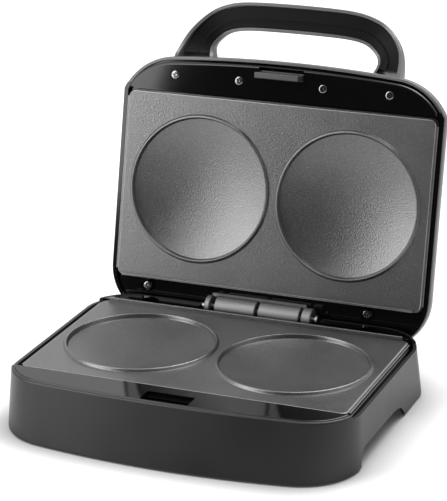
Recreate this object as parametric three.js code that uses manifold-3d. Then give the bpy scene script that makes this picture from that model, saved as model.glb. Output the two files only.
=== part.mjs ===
// Countertop cooker with two round dishes in each plate and a hinged lid, shown open.
// Millimetres, +X to the right, -Y to the front, +Z up. Heights are first measured from the
// lower cooking panel, and the lid is drawn closed, then turned open about its hinge pin.
import * as THREE from 'three';
import { mergeVertices } from 'three/addons/utils/BufferGeometryUtils.js';
import Module from 'manifold-3d';

const wasm = await Module();
wasm.setup();

// Fits
const clearance = 0.3;
const overrun = 2;
const weldDistance = 0.001;

// Cooking plates
const plateWidth = 241.8;
const plateDepth = 141.7;
const plateCorner = 5;
const panelThickness = 3;
const skirtDrop = 6;
const skirtWall = 2.2;
const skirtFlange = 0.9;
const skirtFlangeThickness = 1.2;
const lipHeight = 3.2;
const lipWall = 2;
const dishSpread = 3.7;
const dishForward = 1.1;
const dishSideMargin = 6.45;
const beadHeight = 2.2;
const beadCrestFlat = 0.6;
const beadOuterSlope = 3.4;
const beadInnerSlope = 2.8;
const dishStep = 1;
const dishDepth = 7;
const padInset = 9;
const padFlare = 4;
const padThickness = 2.5;
// Radii of the bowl's rings and the bead's outer shoulder, as shares
const bowlShares = [0, 0.4, 0.74, 1];
const beadShoulderShares = [0.3, 0.78];

// Distances between the plates and what surrounds them
const panelGap = 8;
const panelAboveTable = 42.2;
const wellGapFront = 2.4;
const wellGapRear = 0.4;
const ledgeReach = 6;
const ledgeThickness = 2.2;

// Base housing
const baseSideMargin = 8;
const baseFrontMargin = 31.3;
const baseBehindHinge = 5.02;
const baseFrontCorner = 37;
const baseRearCorner = 33;
const baseFrontBow = 4.5;
const baseWall = 2.4;
const baseSideFlare = 1.4;
const baseFrontFlare = 13.5;
const footFrontCorner = 45;
const footRearCorner = 20;
const footFrontBow = 7;
const baseEdgeRound = 1.2;
const sideRimDrop = 2.2;
const housingDeckDrop = 0.3;
const sideRimFront = 73.6;
const sideRimRear = 72;
const archFront = 64;
const archRear = 34;
const archBelowPanel = 28.6;
const archShoulder = 8;

// Base frame, the gloss part round the lower plate
const frontDeckRise = 1.1;
const rearDeckRise = 0.6;
const deckThickness = 2.2;
const deckEdgeChamfer = 1;

// Base underside
const footProud = 1.2;
const footRadius = 8;
const footInsertDepth = 3;
const coverThickness = 2;
const coverAboveArch = 0.6;
const legRadius = 10;
const legSideInset = 23.9;
const legFrontInset = 26.15;
const legRearInset = 14.5;
const ventCount = 7;
const ventPitch = 9;
const ventWidth = 3;
const ventLength = 40;

// Lid shell
const lidSideMargin = 5.9;
const lidFrontMargin = 31.15;
const lidBehindHinge = 16.02;
const lidFrontCorner = 46.5;
const lidCornerPast = 4.4;
const lidRearCorner = 38;
const lidFrontBow = 3.5;
const lidWall = 2.4;
const lidRimRise = 3.4;
const lidDepth = 36;
const lidCrownInset = 44;
const lidRimLean = 1;
// Height and inward lean of the lid's pillow profile, as shares of its depth and crown inset
const lidProfileShares = [[0.14, 0], [0.28, 0.02], [0.45, 0.085], [0.64, 0.21], [0.79, 0.4],
  [0.9, 0.63], [0.97, 0.84], [1, 1]];

// Lid frame, the gloss part round the upper plate
const lidDeckProud = 1.1;
const lidDeckInset = 4.2;
const lidDeckCornerInset = 3;
const lidDeckCornerShift = 0.6;
const lidSideRimHeight = 1.2;
const lidSideRimInset = 0.6;
const lidSideRimFront = 76;
const lidDeckChamfer = 2;
const lidRearDeckRise = 4;
const bossSideInset = 32.9;
const bossShift = 8.5;
const bossBack = 6.2;
const bossWall = 1;
const bossProud = 3;

// Handle: a band that leaves the rim's corners, rises as it comes forward and slopes inward
const handleHalfWidth = 88.5;
const handleReach = 44.3;
const handleRootInset = 2.5;
const handleFaceRise = 4;
const handleRise = 23.3;
const handleBackRise = 31;
const handleRim = 2.6;
const handleSteps = 30;
// Front edges of the band, from inside the lid to the middle of the grip, as shares of the
// half width, the reach and the rise: first the outer edge, then the hand opening's edge
const handleOuterShares = [[1, -0.54, 0], [1, -0.14, 0], [0.999, 0, 0.04], [0.99, 0.124, 0.24],
  [0.976, 0.248, 0.45], [0.944, 0.418, 0.69], [0.881, 0.598, 0.88], [0.791, 0.767, 1],
  [0.689, 0.876, 1], [0.542, 0.957, 0.95], [0.339, 0.989, 0.92], [0, 1, 0.9]];
const handleInnerShares = [[0.7, -0.54, 0.69], [0.712, -0.14, 0.69], [0.718, 0, 0.77],
  [0.729, 0.068, 0.86], [0.734, 0.147, 0.94], [0.718, 0.237, 1.03], [0.678, 0.327, 1.07],
  [0.627, 0.406, 1.07], [0.554, 0.46, 1.07], [0.441, 0.492, 1.05], [0.271, 0.506, 1.03],
  [0, 0.51, 1.03]];
// Round of the band's section, from its inner front edge over the back to its outer front edge,
// as shares of its width and depth
const handleSectionShares = [[0.98, 0], [1, 0.1], [1, 0.75], [0.92, 0.93], [0.75, 1], [0.4, 1],
  [0.22, 0.93], [0.1, 0.78], [0.03, 0.55], [0, 0.3], [0, 0.04], [0.02, 0]];
const channelDepthShare = 0.5;
const linerFaceShare = 0.2;
const linerRailShares = [0.56, 0.64, 0.04];

// Hinge
const hingeBack = 14.13;
const hingeRise = 0.36;
const openAngle = 102.24;
const barrelGap = 0.64;
const barrelBore = 2.8;
const pinOverhang = 4;
const pinHeadRadius = 4;
const pinHeadLength = 2;
const leafThickness = 2.2;
const leafFrontGap = 1.83;
const saddleHalfWidth = 6.6;
const hingePocketRoom = 8;
const pocketWall = 2;
const baseBarrel = [-34, -1.8];
const baseKnuckle = [34.8, 42];
const lidKnuckle = [-42, -38];
const lidBarrel = [0.8, 33];
const hingeScrewInset = 8;
const hingeScrewForward = 3;

// Latch
const latchHalfWidth = 17;
const latchThickness = 3.3;
const latchFromFront = 7.7;
const latchProud = 11;
const latchTailRise = 12;
const latchFlangeReach = 2;
const latchFlangeThickness = 2;
const latchNoseReach = 1.2;
const latchNoseHeight = 1.6;
const latchSlotFront = 3.6;
const latchSlotRear = 1.6;
const latchWellDepth = 10;
const latchWellRear = 6.5;
const latchWellFront = 4.4;
const springThickness = 0.6;
const springHalfLength = 14;
const springBow = 3.2;

// Fasteners
const deckScrewInner = 33;
const deckScrewSideInset = 36.6;
const deckScrewBack = 16.9;
const deckScrewHead = 3.4;
const screwHeadHeight = 1.8;
const screwShank = 1.6;
const screwLength = 8;
const screwCrossWidth = 0.9;
const screwCrossLength = 3.6;
const screwCrossDepth = 1;
const screwEdgeShare = 0.55;
const screwCrownShare = 0.72;
const recessSideInset = 33.9;
const recessFromPlate = 8.7;
const recessRadius = 7;
const recessWall = 1.4;
const recessDepth = 8;
const postRadius = 5;
const frontPostInset = 36.9;
const rearPostInset = 56.9;

// Heating parts
const elementRadius = 3.2;
const elementSideInset = 28.9;
const elementFrontInset = 43.85;
const elementGap = 14;
const elementSteps = 34;
const elementRoundShare = 0.5;
const reflectorWall = 0.8;
const reflectorDrop = 10;
const reflectorInset = 9;
const reflectorFlange = 6;
const thermostatRadius = 9;
const thermostatHeight = 9;
const thermostatCapShare = 0.8;
const thermostatY = 25;
const fuseRadius = 2.2;
const fuseHalfLength = 8;
const fuseY = 36;
const terminalWidth = 26;
const terminalLength = 14;
const terminalX = -58;
const terminalFromRear = 32;
const bushingRadius = 5;
const bushingBore = 3;
const bushingFlange = 1.5;
const bushingLength = 8;
const bushingX = -30;
const bushingBelowPanel = 25.2;

// Signal lamps on the outside of the lid
const lampRadius = 3.6;
const lampPitch = 24;
const lampY = -34;
const lampProud = 1;
const lampFlange = 1;
const lampShoulderShares = [0.7, 0.8];

// Facets
const cornerFacets = 5;
const frontFacets = 6;
const dishFacets = 32;
const holeFacets = 14;
const screwFacets = 8;
const barrelFacets = 20;
const tubeFacets = 6;
const springFacets = 8;

// Places worked out from the sizes above
const plateHalf = plateWidth / 2;
const plateHalfDepth = plateDepth / 2;
const beadCrestRadius = plateHalf / 2 - dishSideMargin;
const dishPitch = plateHalf - dishSpread;
const padRadius = beadCrestRadius - padInset;
const hingeY = plateHalfDepth + hingeBack;
const hingeScrewY = hingeY - hingeScrewForward;
const tableZ = -panelAboveTable;
const ledgeTop = -skirtDrop - clearance;
const ledgeBottom = ledgeTop - ledgeThickness;
const baseHalf = plateHalf + baseSideMargin;
const baseFront = plateHalfDepth + baseFrontMargin;
const baseRear = hingeY + baseBehindHinge;
const lidHalf = plateHalf + lidSideMargin;
const lidFront = plateHalfDepth + lidFrontMargin;
const lidRear = hingeY + lidBehindHinge;
const lidRimZ = panelGap + lidRimRise;
const lidTopZ = lidRimZ + lidDepth;
const lidLedgeZ = panelGap - ledgeTop;
const lidLedgeTop = lidLedgeZ + ledgeThickness;
const lidDeckZ = panelGap - lidDeckProud;
const lidRearDeckZ = panelGap + lidRearDeckRise;
const lidDeckFront = lidFront - lidDeckInset;
const housingBottom = tableZ + footProud;
const legX = baseHalf - legSideInset;
const legFrontY = baseFront - legFrontInset;
const legRearY = baseRear - legRearInset;
const elementHalfLength = plateHalf - elementSideInset;
const elementHalfWidth = plateHalfDepth - elementFrontInset;
const archTop = -archBelowPanel;
const coverZ = archTop + coverAboveArch;
const wellFront = plateHalfDepth + wellGapFront;
const wellRear = plateHalfDepth + skirtFlange + wellGapRear;
const pocketFront = wellRear + pocketWall;
const leafHalfWidth = hingeY - pocketFront - leafFrontGap;
const barrelRadius = lidRearDeckZ - clearance - leafThickness - hingeRise - barrelGap;
const pinRadius = barrelBore - clearance;
const pinHalfLength = baseKnuckle[1] + pinOverhang;
const hingePocketHalf = baseKnuckle[1] + hingePocketRoom;
const bossX = plateHalf - bossSideInset;
const recessX = plateHalf - recessSideInset;
const frontPostX = plateHalf - frontPostInset;
const rearPostX = plateHalf - rearPostInset;
const deckScrewX = [deckScrewInner, plateHalf - deckScrewSideInset];
const lidDeckCorner = lidFrontCorner - lidDeckCornerInset;
const lidCornerX = lidHalf - lidFrontCorner + lidCornerPast;
const lidDeckCornerPast = lidDeckCorner - plateHalf + lidCornerX + lidDeckCornerShift;
const latchY = -(lidDeckFront - latchFromFront + latchThickness);
const pocketFloor = hingeRise - (lidRearDeckZ - hingeRise);
const handleRootY = -(lidFront - handleRootInset);
const handleFaceZ = panelGap + handleFaceRise;

function solidOf(geometry) {
  const bare = geometry.clone();
  bare.deleteAttribute('normal');
  bare.deleteAttribute('uv');
  const welded = mergeVertices(bare, weldDistance);
  const vertProperties = new Float32Array(welded.attributes.position.array);
  const triVerts = new Uint32Array(welded.index.array);
  return new wasm.Manifold(new wasm.Mesh({ numProp: 3, vertProperties, triVerts }));
}

function geometryOf(solid) {
  const mesh = solid.getMesh();
  const geometry = new THREE.BufferGeometry();
  geometry.setAttribute('position', new THREE.BufferAttribute(mesh.vertProperties, 3));
  geometry.setIndex(new THREE.BufferAttribute(mesh.triVerts, 1));
  const flat = geometry.toNonIndexed();
  flat.computeVertexNormals();
  return flat;
}

function cut(solid, ...tools) {
  return tools.flat().reduce((left, tool) => left.subtract(tool), solid);
}

function join(solid, ...others) {
  return others.flat().reduce((whole, other) => whole.add(other), solid);
}

function block([x0, x1], [y0, y1], [z0, z1]) {
  const box = new THREE.BoxGeometry(x1 - x0, y1 - y0, z1 - z0);
  return solidOf(box.translate((x0 + x1) / 2, (y0 + y1) / 2, (z0 + z1) / 2));
}

function rod(radius, x, y, [z0, z1], sides = holeFacets) {
  const cylinder = new THREE.CylinderGeometry(radius, radius, z1 - z0, sides);
  cylinder.rotateX(Math.PI / 2);
  return solidOf(cylinder.translate(x, y, (z0 + z1) / 2));
}

function rodAlongX(radius, [x0, x1], y, z, sides = barrelFacets) {
  const cylinder = new THREE.CylinderGeometry(radius, radius, x1 - x0, sides);
  cylinder.rotateZ(Math.PI / 2);
  return solidOf(cylinder.translate((x0 + x1) / 2, y, z));
}

// A body that fills the space between rings of points, each ring anticlockwise at its own height
function loft(rings, heights) {
  const count = rings[0].length;
  const positions = [];
  rings.forEach((ring, level) => ring.forEach((p) => positions.push(p.x, p.y, heights[level])));
  const index = [];
  for (let level = 0; level < rings.length - 1; level += 1) {
    for (let i = 0; i < count; i += 1) {
      const a = level * count + i;
      const b = level * count + (i + 1) % count;
      index.push(a, b, b + count, a, b + count, a + count);
    }
  }
  const last = (rings.length - 1) * count;
  THREE.ShapeUtils.triangulateShape(rings[0], []).forEach(([a, b, c]) => index.push(c, b, a));
  const top = THREE.ShapeUtils.triangulateShape(rings[rings.length - 1], []);
  top.forEach(([a, b, c]) => index.push(last + a, last + b, last + c));
  const geometry = new THREE.BufferGeometry();
  geometry.setAttribute('position', new THREE.Float32BufferAttribute(positions, 3));
  geometry.setIndex(index);
  return solidOf(geometry);
}

function prism(ring, [z0, z1]) {
  return loft([ring, ring], [z0, z1]);
}

// A body of revolution about +Z from points of radius and height, listed from the bottom up
function turned(profile, x = 0, y = 0, sides = holeFacets) {
  const lathe = new THREE.LatheGeometry(profile.map(([r, z]) => new THREE.Vector2(r, z)), sides);
  lathe.rotateX(Math.PI / 2);
  return solidOf(lathe.translate(x, y, 0));
}

// Plan of a housing: bowed front, round corners, straight sides and rear, drawn in by an inset.
// A front corner whose circle runs past the side meets the side at an angle.
function plan({ half, front, rear, frontCorner, rearCorner, bow, past = 0 }, inset = 0) {
  const sharpest = plateCorner / 2;
  const w = half - inset;
  const f = front - inset;
  const r = rear - inset;
  const fr = Math.max(frontCorner - inset, sharpest);
  const rr = Math.max(rearCorner - inset, sharpest);
  const ring = [];
  const arc = (cx, cy, radius, from, to) => {
    for (let i = 0; i <= cornerFacets; i += 1) {
      const a = from + (to - from) * i / cornerFacets;
      ring.push(new THREE.Vector2(cx + radius * Math.cos(a), cy + radius * Math.sin(a)));
    }
  };
  const quarter = Math.PI / 2;
  const over = Math.min(past, fr / 2);
  const cornerX = w - fr + over;
  const meet = Math.acos((fr - over) / fr);
  const lean = Math.atan(2 * bow / cornerX);
  const sideY = -f + bow;
  arc(cornerX, sideY + fr, fr, -quarter + lean, -meet);
  arc(w - rr, r - rr, rr, 0, quarter);
  arc(-w + rr, r - rr, rr, quarter, 2 * quarter);
  arc(-cornerX, sideY + fr, fr, 2 * quarter + meet, 3 * quarter - lean);
  const from = ring[ring.length - 1];
  const to = ring[0];
  for (let i = 1; i < frontFacets; i += 1) {
    const s = 2 * i / frontFacets - 1;
    ring.push(new THREE.Vector2(to.x * s, -f + (from.y + f) * s * s));
  }
  return ring;
}

function plateRing(inset) {
  const corner = plateCorner - inset > plateCorner / 4 ? plateCorner - inset : plateCorner / 4;
  return plan({
    half: plateHalf, front: plateHalfDepth, rear: plateHalfDepth,
    frontCorner: corner + inset, rearCorner: corner + inset, bow: 0,
  }, inset);
}

// The points of an open line moved to its left by an inset
function shrink(line, inset) {
  return line.map((p, i) => {
    const before = line[Math.max(i - 1, 0)];
    const after = line[Math.min(i + 1, line.length - 1)];
    const along = new THREE.Vector2().subVectors(after, before).normalize();
    return new THREE.Vector2(p.x - along.y * inset, p.y + along.x * inset);
  });
}

// Prism with its outline in the Y and Z directions, running from one x to another
function sidePrism(points, [x0, x1]) {
  const shape = new THREE.Shape(points.map(([y, z]) => new THREE.Vector2(y, z)));
  const run = new THREE.ExtrudeGeometry(shape, { depth: x1 - x0, bevelEnabled: false });
  const toSide = new THREE.Matrix4().makeBasis(
    new THREE.Vector3(0, 1, 0), new THREE.Vector3(0, 0, 1), new THREE.Vector3(1, 0, 0));
  return solidOf(run.applyMatrix4(toSide).translate(x0, 0, 0));
}

const finish = {
  charcoal: { color: 0x3b3b3d, roughness: 0.55, metalness: 0.1 },
  gloss: { color: 0x0c0c0d, roughness: 0.15, metalness: 0 },
  nonstick: { color: 0x4a4a4b, roughness: 0.4, metalness: 0.3 },
  silver: { color: 0xaeaeb0, roughness: 0.35, metalness: 0.5 },
  black: { color: 0x161616, roughness: 0.6, metalness: 0 },
  steel: { color: 0xb4b4b6, roughness: 0.3, metalness: 0.9 },
  rubber: { color: 0x1a1a1a, roughness: 0.9, metalness: 0 },
  ceramic: { color: 0xd8d4c8, roughness: 0.6, metalness: 0 },
  red: { color: 0xa01818, roughness: 0.2, metalness: 0 },
  green: { color: 0x1f7a35, roughness: 0.2, metalness: 0 },
};

function piece(name, solid, look, parent) {
  const geometry = solid instanceof THREE.BufferGeometry ? solid : geometryOf(solid);
  const mesh = new THREE.Mesh(geometry, new THREE.MeshStandardMaterial(finish[look]));
  mesh.name = name;
  parent.add(mesh);
  return mesh;
}

const product = new THREE.Group();
const base = new THREE.Group();
const hinged = new THREE.Group();
const lid = new THREE.Group();
const upperHalf = new THREE.Group();
hinged.position.set(0, hingeY, hingeRise);
hinged.rotation.x = -THREE.MathUtils.degToRad(openAngle);
lid.position.set(0, -hingeY, -hingeRise);
hinged.add(lid);
product.add(base, hinged);
// The upper plate and its heater are the lower ones turned over, one panel gap higher
upperHalf.rotation.y = Math.PI;
upperHalf.position.z = panelGap;
lid.add(upperHalf);

// Screws: pan head, head upwards with its seat at height zero, crossed where it shows
const screwPlain = turned([[0, -screwLength], [screwShank, -screwLength], [screwShank, 0],
  [deckScrewHead, 0], [deckScrewHead, screwHeadHeight * screwEdgeShare],
  [deckScrewHead * screwCrownShare, screwHeadHeight], [0, screwHeadHeight]], 0, 0, screwFacets);
const crossSpan = [-screwCrossLength / 2, screwCrossLength / 2];
const crossSlot = [-screwCrossWidth / 2, screwCrossWidth / 2];
const crossHeights = [screwHeadHeight - screwCrossDepth, screwHeadHeight + overrun];
const screwCrossed = cut(screwPlain, block(crossSpan, crossSlot, crossHeights),
  block(crossSlot, crossSpan, crossHeights));

function screw(name, x, y, z, headDown, parent) {
  const shows = name.startsWith('deck') || name.startsWith('boss') || name.startsWith('recess');
  const mesh = piece(name, shows ? screwCrossed : screwPlain, 'steel', parent);
  mesh.position.set(x, y, z);
  if (headDown) mesh.rotation.x = Math.PI;
  return mesh;
}

// Room for a screw whose seat is at height z: its head's counterbore and its shank's hole
function screwRoom(x, y, z, headDown) {
  const way = headDown ? -1 : 1;
  const span = (...ends) => ends.map((end) => z + way * end).sort((a, b) => a - b);
  return [
    rod(deckScrewHead + clearance, x, y, span(-clearance, screwHeadHeight + overrun)),
    rod(screwShank + clearance, x, y, span(-screwLength - overrun, 0), screwFacets),
  ];
}

// Cooking plate: panel, skirt with a small flange, rear lip and two ringed round dishes
function cookingPlate() {
  const panel = loft([plateRing(0), plateRing(0), plateRing(beadCrestFlat)],
    [-panelThickness, -beadCrestFlat, 0]);
  const skirt = prism(plateRing(0), [-skirtDrop, -panelThickness / 2]);
  const flange = prism(plateRing(-skirtFlange), [-skirtDrop, -skirtDrop + skirtFlangeThickness]);
  const inside = prism(plateRing(skirtWall), [-skirtDrop - overrun, -panelThickness]);
  const lipSpan = [-plateHalf + plateCorner, plateHalf - plateCorner];
  const lipRange = [plateHalfDepth - lipWall, plateHalfDepth];
  const lip = block(lipSpan, lipRange, [-panelThickness, lipHeight]);
  const innerFoot = beadCrestRadius - beadInnerSlope;
  const outerFoot = beadCrestRadius + beadOuterSlope;
  const crestOut = beadCrestRadius + beadCrestFlat;
  const crestIn = beadCrestRadius - beadCrestFlat;
  const padBottom = -dishDepth - padThickness;
  const middle = -panelThickness / 2;
  const slope = outerFoot - crestOut;
  const [shoulderOut, shoulderUp] = beadShoulderShares;
  const boss = [[0, padBottom], [padRadius, padBottom], [padRadius + padFlare, middle],
    [outerFoot - slope * middle / beadHeight, middle],
    [crestOut + slope * shoulderOut, beadHeight * shoulderUp], [crestOut, beadHeight],
    [0, beadHeight]];
  const bowl = bowlShares.map((share) => [innerFoot * share,
    -dishDepth + (dishDepth - dishStep) * share * share]);
  const hollow = [...bowl, [crestIn, beadHeight], [crestIn, beadHeight + overrun],
    [0, beadHeight + overrun]];
  let plate = cut(join(panel, skirt, flange), inside);
  plate = join(plate, lip);
  for (const side of [-1, 1]) {
    const x = side * dishPitch / 2;
    plate = join(plate, turned(boss, x, -dishForward, dishFacets));
    plate = cut(plate, turned(hollow, x, -dishForward, dishFacets));
  }
  return plate;
}

const plateSolid = cookingPlate();
piece('lower_plate', plateSolid, 'nonstick', base);
piece('upper_plate', plateSolid, 'nonstick', upperHalf);

// Heating element: a round tube bent in an open racetrack under both dishes
function heatingElement() {
  const depth = -dishDepth - padThickness - clearance - elementRadius;
  const gapAngle = Math.asin(elementGap / elementHalfLength);
  const places = [];
  for (let i = 0; i <= elementSteps; i += 1) {
    const a = Math.PI / 2 + gapAngle + (2 * Math.PI - 2 * gapAngle) * i / elementSteps;
    const ease = (value) => Math.sign(value) * Math.abs(value) ** elementRoundShare;
    places.push(new THREE.Vector3(elementHalfLength * ease(Math.cos(a)),
      elementHalfWidth * ease(Math.sin(a)) - dishForward, depth));
  }
  const path = new THREE.CatmullRomCurve3(places);
  const section = new THREE.Shape();
  for (let i = 0; i < tubeFacets; i += 1) {
    const a = 2 * Math.PI * i / tubeFacets;
    const point = [elementRadius * Math.cos(a), elementRadius * Math.sin(a)];
    if (i === 0) section.moveTo(...point);
    else section.lineTo(...point);
  }
  return solidOf(new THREE.ExtrudeGeometry(section, { steps: elementSteps, extrudePath: path }));
}

const elementSolid = heatingElement();
piece('lower_heating_element', elementSolid, 'steel', base);
piece('upper_heating_element', elementSolid, 'steel', upperHalf);

// Heat reflector: a thin tray hung under the frame's ledge
function reflector() {
  const top = ledgeBottom - clearance;
  const floor = top - reflectorDrop;
  const tray = loft([plateRing(reflectorInset + reflectorFlange), plateRing(reflectorInset)],
    [floor, top - reflectorWall]);
  const rim = prism(plateRing(reflectorInset - reflectorFlange), [top - reflectorWall, top]);
  const hollow = loft([plateRing(reflectorInset + reflectorFlange + reflectorWall),
    plateRing(reflectorInset + reflectorWall), plateRing(reflectorInset + reflectorWall)],
  [floor + reflectorWall, top - reflectorWall, top + overrun]);
  return cut(join(tray, rim), hollow);
}

const reflectorSolid = reflector();
piece('lower_heat_reflector', reflectorSolid, 'steel', base);
piece('upper_heat_reflector', reflectorSolid, 'steel', upperHalf);

// Thermostat and thermal fuse, both held against the panel's underside between the dishes
const thermostatTop = -panelThickness - clearance;
const thermostatMiddle = thermostatTop - thermostatHeight / 2;
const thermostatFoot = thermostatTop - thermostatHeight;
const capRadius = thermostatRadius * thermostatCapShare;
const thermostatProfile = [[0, thermostatFoot], [thermostatRadius, thermostatFoot],
  [thermostatRadius, thermostatMiddle], [capRadius, thermostatMiddle], [capRadius, thermostatTop],
  [0, thermostatTop]];
const fuseZ = -panelThickness - clearance - fuseRadius;

// Plans of the two housings and of the gloss frames inside them
const basePlan = { half: baseHalf, front: baseFront, rear: baseRear,
  frontCorner: baseFrontCorner, rearCorner: baseRearCorner, bow: baseFrontBow };
const lidPlan = { half: lidHalf, front: lidFront, rear: lidRear,
  frontCorner: lidFrontCorner, rearCorner: lidRearCorner, bow: lidFrontBow,
  past: lidCornerPast };
const deckPlan = { half: plateHalf, front: lidDeckFront, rear: lidRear,
  frontCorner: lidDeckCorner, rearCorner: lidRearCorner, bow: lidFrontBow,
  past: lidDeckCornerPast };

// Room for the cord's sleeve, lying along Y about the inside of the rear wall
function glandRun(length) {
  const radius = bushingRadius + clearance;
  const run = new THREE.CylinderGeometry(radius, radius, length, holeFacets);
  return solidOf(run.translate(bushingX, baseRear - baseWall, -bushingBelowPanel));
}

// The base housing's plan at any height, between its foot and its top
function basePlanAt(z) {
  const share = z / housingBottom;
  return {
    ...basePlan,
    half: baseHalf + baseSideFlare * share,
    front: baseFront + baseFrontFlare * share,
    frontCorner: THREE.MathUtils.lerp(baseFrontCorner, footFrontCorner, share),
    rearCorner: THREE.MathUtils.lerp(baseRearCorner, footRearCorner, share),
    bow: THREE.MathUtils.lerp(baseFrontBow, footFrontBow, share),
  };
}

// Base housing: moulded walls open above and below, with a low arch in each side
function baseHousing() {
  const top = frontDeckRise - housingDeckDrop;
  const shoulder = top - baseEdgeRound;
  const outer = loft([plan(basePlanAt(housingBottom), baseEdgeRound / 2),
    plan(basePlanAt(housingBottom + baseEdgeRound)), plan(basePlanAt(shoulder)),
    plan(basePlanAt(top), baseEdgeRound)],
  [housingBottom, housingBottom + baseEdgeRound, shoulder, top]);
  const inner = loft([plan(basePlanAt(housingBottom - overrun), baseWall),
    plan(basePlanAt(top + overrun), baseWall)], [housingBottom - overrun, top + overrun]);
  const across = [-baseHalf - baseSideFlare - overrun, baseHalf + baseSideFlare + overrun];
  const sideCut = block(across, [-sideRimFront, sideRimRear], [-sideRimDrop, top + overrun]);
  const slope = archShoulder;
  const arch = sidePrism([[-archFront, housingBottom - overrun],
    [archRear + slope, housingBottom - overrun], [archRear, archTop - slope],
    [archRear - slope, archTop - slope / 2], [archRear - 3 * slope, archTop],
    [-archFront + slope, archTop], [-archFront + slope / 4, archTop - slope / 4],
    [-archFront, archTop - slope]], across);
  const hingeNotch = block([-hingePocketHalf, hingePocketHalf], [baseRear - baseWall - overrun,
    baseRear + overrun], [pocketFloor - ledgeThickness - clearance, top + overrun]);
  const gland = glandRun(baseWall * 3).translate([0, baseWall / 2, 0]);
  return cut(outer, inner, sideCut, arch, hingeNotch, gland);
}

piece('base_housing', baseHousing(), 'charcoal', base);

// Latch well in the base deck, with its walls and the nose's catch along the rear edge
const latchNoseY = latchY + latchThickness + latchNoseReach;
const latchWellBack = latchY + latchThickness + latchWellRear;
const latchWellFace = latchY - latchWellFront;
const latchTipZ = lidDeckZ - latchProud;
const catchTop = -deckThickness / 2;
const screwsIn = ([from, to]) => [from + hingeScrewInset, to - hingeScrewInset];
const baseHingeScrewX = screwsIn(baseBarrel);
const lidHingeScrewX = screwsIn(lidBarrel);

// Base frame: ledge round the plate, raised front deck, rear deck and hinge pocket
function baseFrame() {
  const inside = baseWall + clearance;
  const bottom = pocketFloor - ledgeThickness;
  const body = loft([plan(basePlanAt(ledgeBottom), inside + clearance), plan(basePlanAt(0), inside),
    plan(basePlanAt(0), inside + deckEdgeChamfer)],
  [ledgeBottom, frontDeckRise - deckEdgeChamfer, frontDeckRise]);
  const wide = [-baseHalf, baseHalf];
  const well = block(wide, [-wellFront, wellRear], [ledgeTop, frontDeckRise + overrun]);
  const rearCut = block(wide, [wellRear - overrun, baseRear],
    [rearDeckRise, frontDeckRise + overrun]);
  const opening = prism(plateRing(ledgeReach), [ledgeBottom - overrun, frontDeckRise + overrun]);
  const under = plan(basePlan, inside + deckThickness);
  const frontRoom = prism(under, [ledgeBottom - overrun, frontDeckRise - deckThickness])
    .intersect(block(wide, [-baseFront, -wellFront - deckThickness],
      [ledgeBottom - overrun, frontDeckRise]));
  const rearRoom = prism(under, [ledgeBottom - overrun, rearDeckRise - deckThickness])
    .intersect(block(wide, [wellRear + deckThickness, baseRear],
      [ledgeBottom - overrun, rearDeckRise]));
  const slotHalf = latchHalfWidth + 2 * clearance;
  const wallHalf = slotHalf + deckThickness;
  const wellFloor = frontDeckRise - latchWellDepth;
  const latchWell = block([-wallHalf, wallHalf],
    [latchWellFace - overrun, latchWellBack + deckThickness],
    [wellFloor - deckThickness, frontDeckRise - clearance]);
  const latchHollow = block([-slotHalf, slotHalf], [latchWellFace, latchWellBack],
    [wellFloor, frontDeckRise + overrun]);
  const catchBar = block([-slotHalf - clearance, slotHalf + clearance],
    [latchNoseY + clearance, latchWellBack + clearance], [catchTop - deckThickness, catchTop]);
  const within = prism(plan(basePlan, inside + deckThickness / 2), [tableZ, frontDeckRise]);
  const latchBody = within.intersect(latchWell);
  let frame = cut(body, well, rearCut, opening, frontRoom, rearRoom);
  frame = join(cut(join(frame, latchBody), latchHollow), catchBar);
  const pocketHalf = hingePocketHalf - clearance;
  const pocketBody = block([-pocketHalf, pocketHalf], [wellRear, baseRear], [bottom, rearDeckRise]);
  const pocketHollow = block([-pocketHalf + pocketWall, pocketHalf - pocketWall],
    [pocketFront, baseRear + overrun], [pocketFloor, rearDeckRise + overrun]);
  frame = cut(join(frame, pocketBody), pocketHollow);
  for (const side of [-1, 1]) {
    const y = plateHalfDepth + recessFromPlate;
    const tube = rod(recessRadius + recessWall, side * recessX, y,
      [rearDeckRise - recessDepth - deckThickness, rearDeckRise - clearance]);
    const behind = block(wide, [wellRear + deckThickness / 2, baseRear], [tableZ, frontDeckRise]);
    frame = join(frame, tube.intersect(within).intersect(behind));
    const mouth = rod(recessRadius, side * recessX, y,
      [rearDeckRise - recessDepth, rearDeckRise + overrun]).intersect(block(wide,
      [wellRear + recessWall, baseRear - inside - recessWall], [tableZ, rearDeckRise + 2 * overrun]));
    frame = cut(frame, mouth, screwRoom(side * recessX, y, rearDeckRise - recessDepth, false)[1]);
    for (const postY of [-(wellFront + deckThickness / 2 + postRadius), y]) {
      const postX = side * (postY > 0 ? rearPostX : frontPostX);
      const top = postY > 0 ? rearDeckRise : frontDeckRise;
      const post = rod(postRadius, postX, postY,
        [coverZ + coverThickness + clearance, top - deckThickness / 2]);
      frame = cut(join(frame, post), rod(screwShank + clearance, postX, postY,
        [coverZ, coverZ + coverThickness + clearance + screwLength]));
    }
  }
  for (const x of baseHingeScrewX) {
    frame = cut(frame, rod(screwShank + clearance, x, hingeScrewY,
      [bottom - overrun, pocketFloor + overrun], screwFacets));
  }
  return frame;
}

piece('base_frame', baseFrame(), 'gloss', base);
const recessY = plateHalfDepth + recessFromPlate;
screw('recess_screw_left', -recessX, recessY, rearDeckRise - recessDepth, false, base);
screw('recess_screw_right', recessX, recessY, rearDeckRise - recessDepth, false, base);

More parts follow.
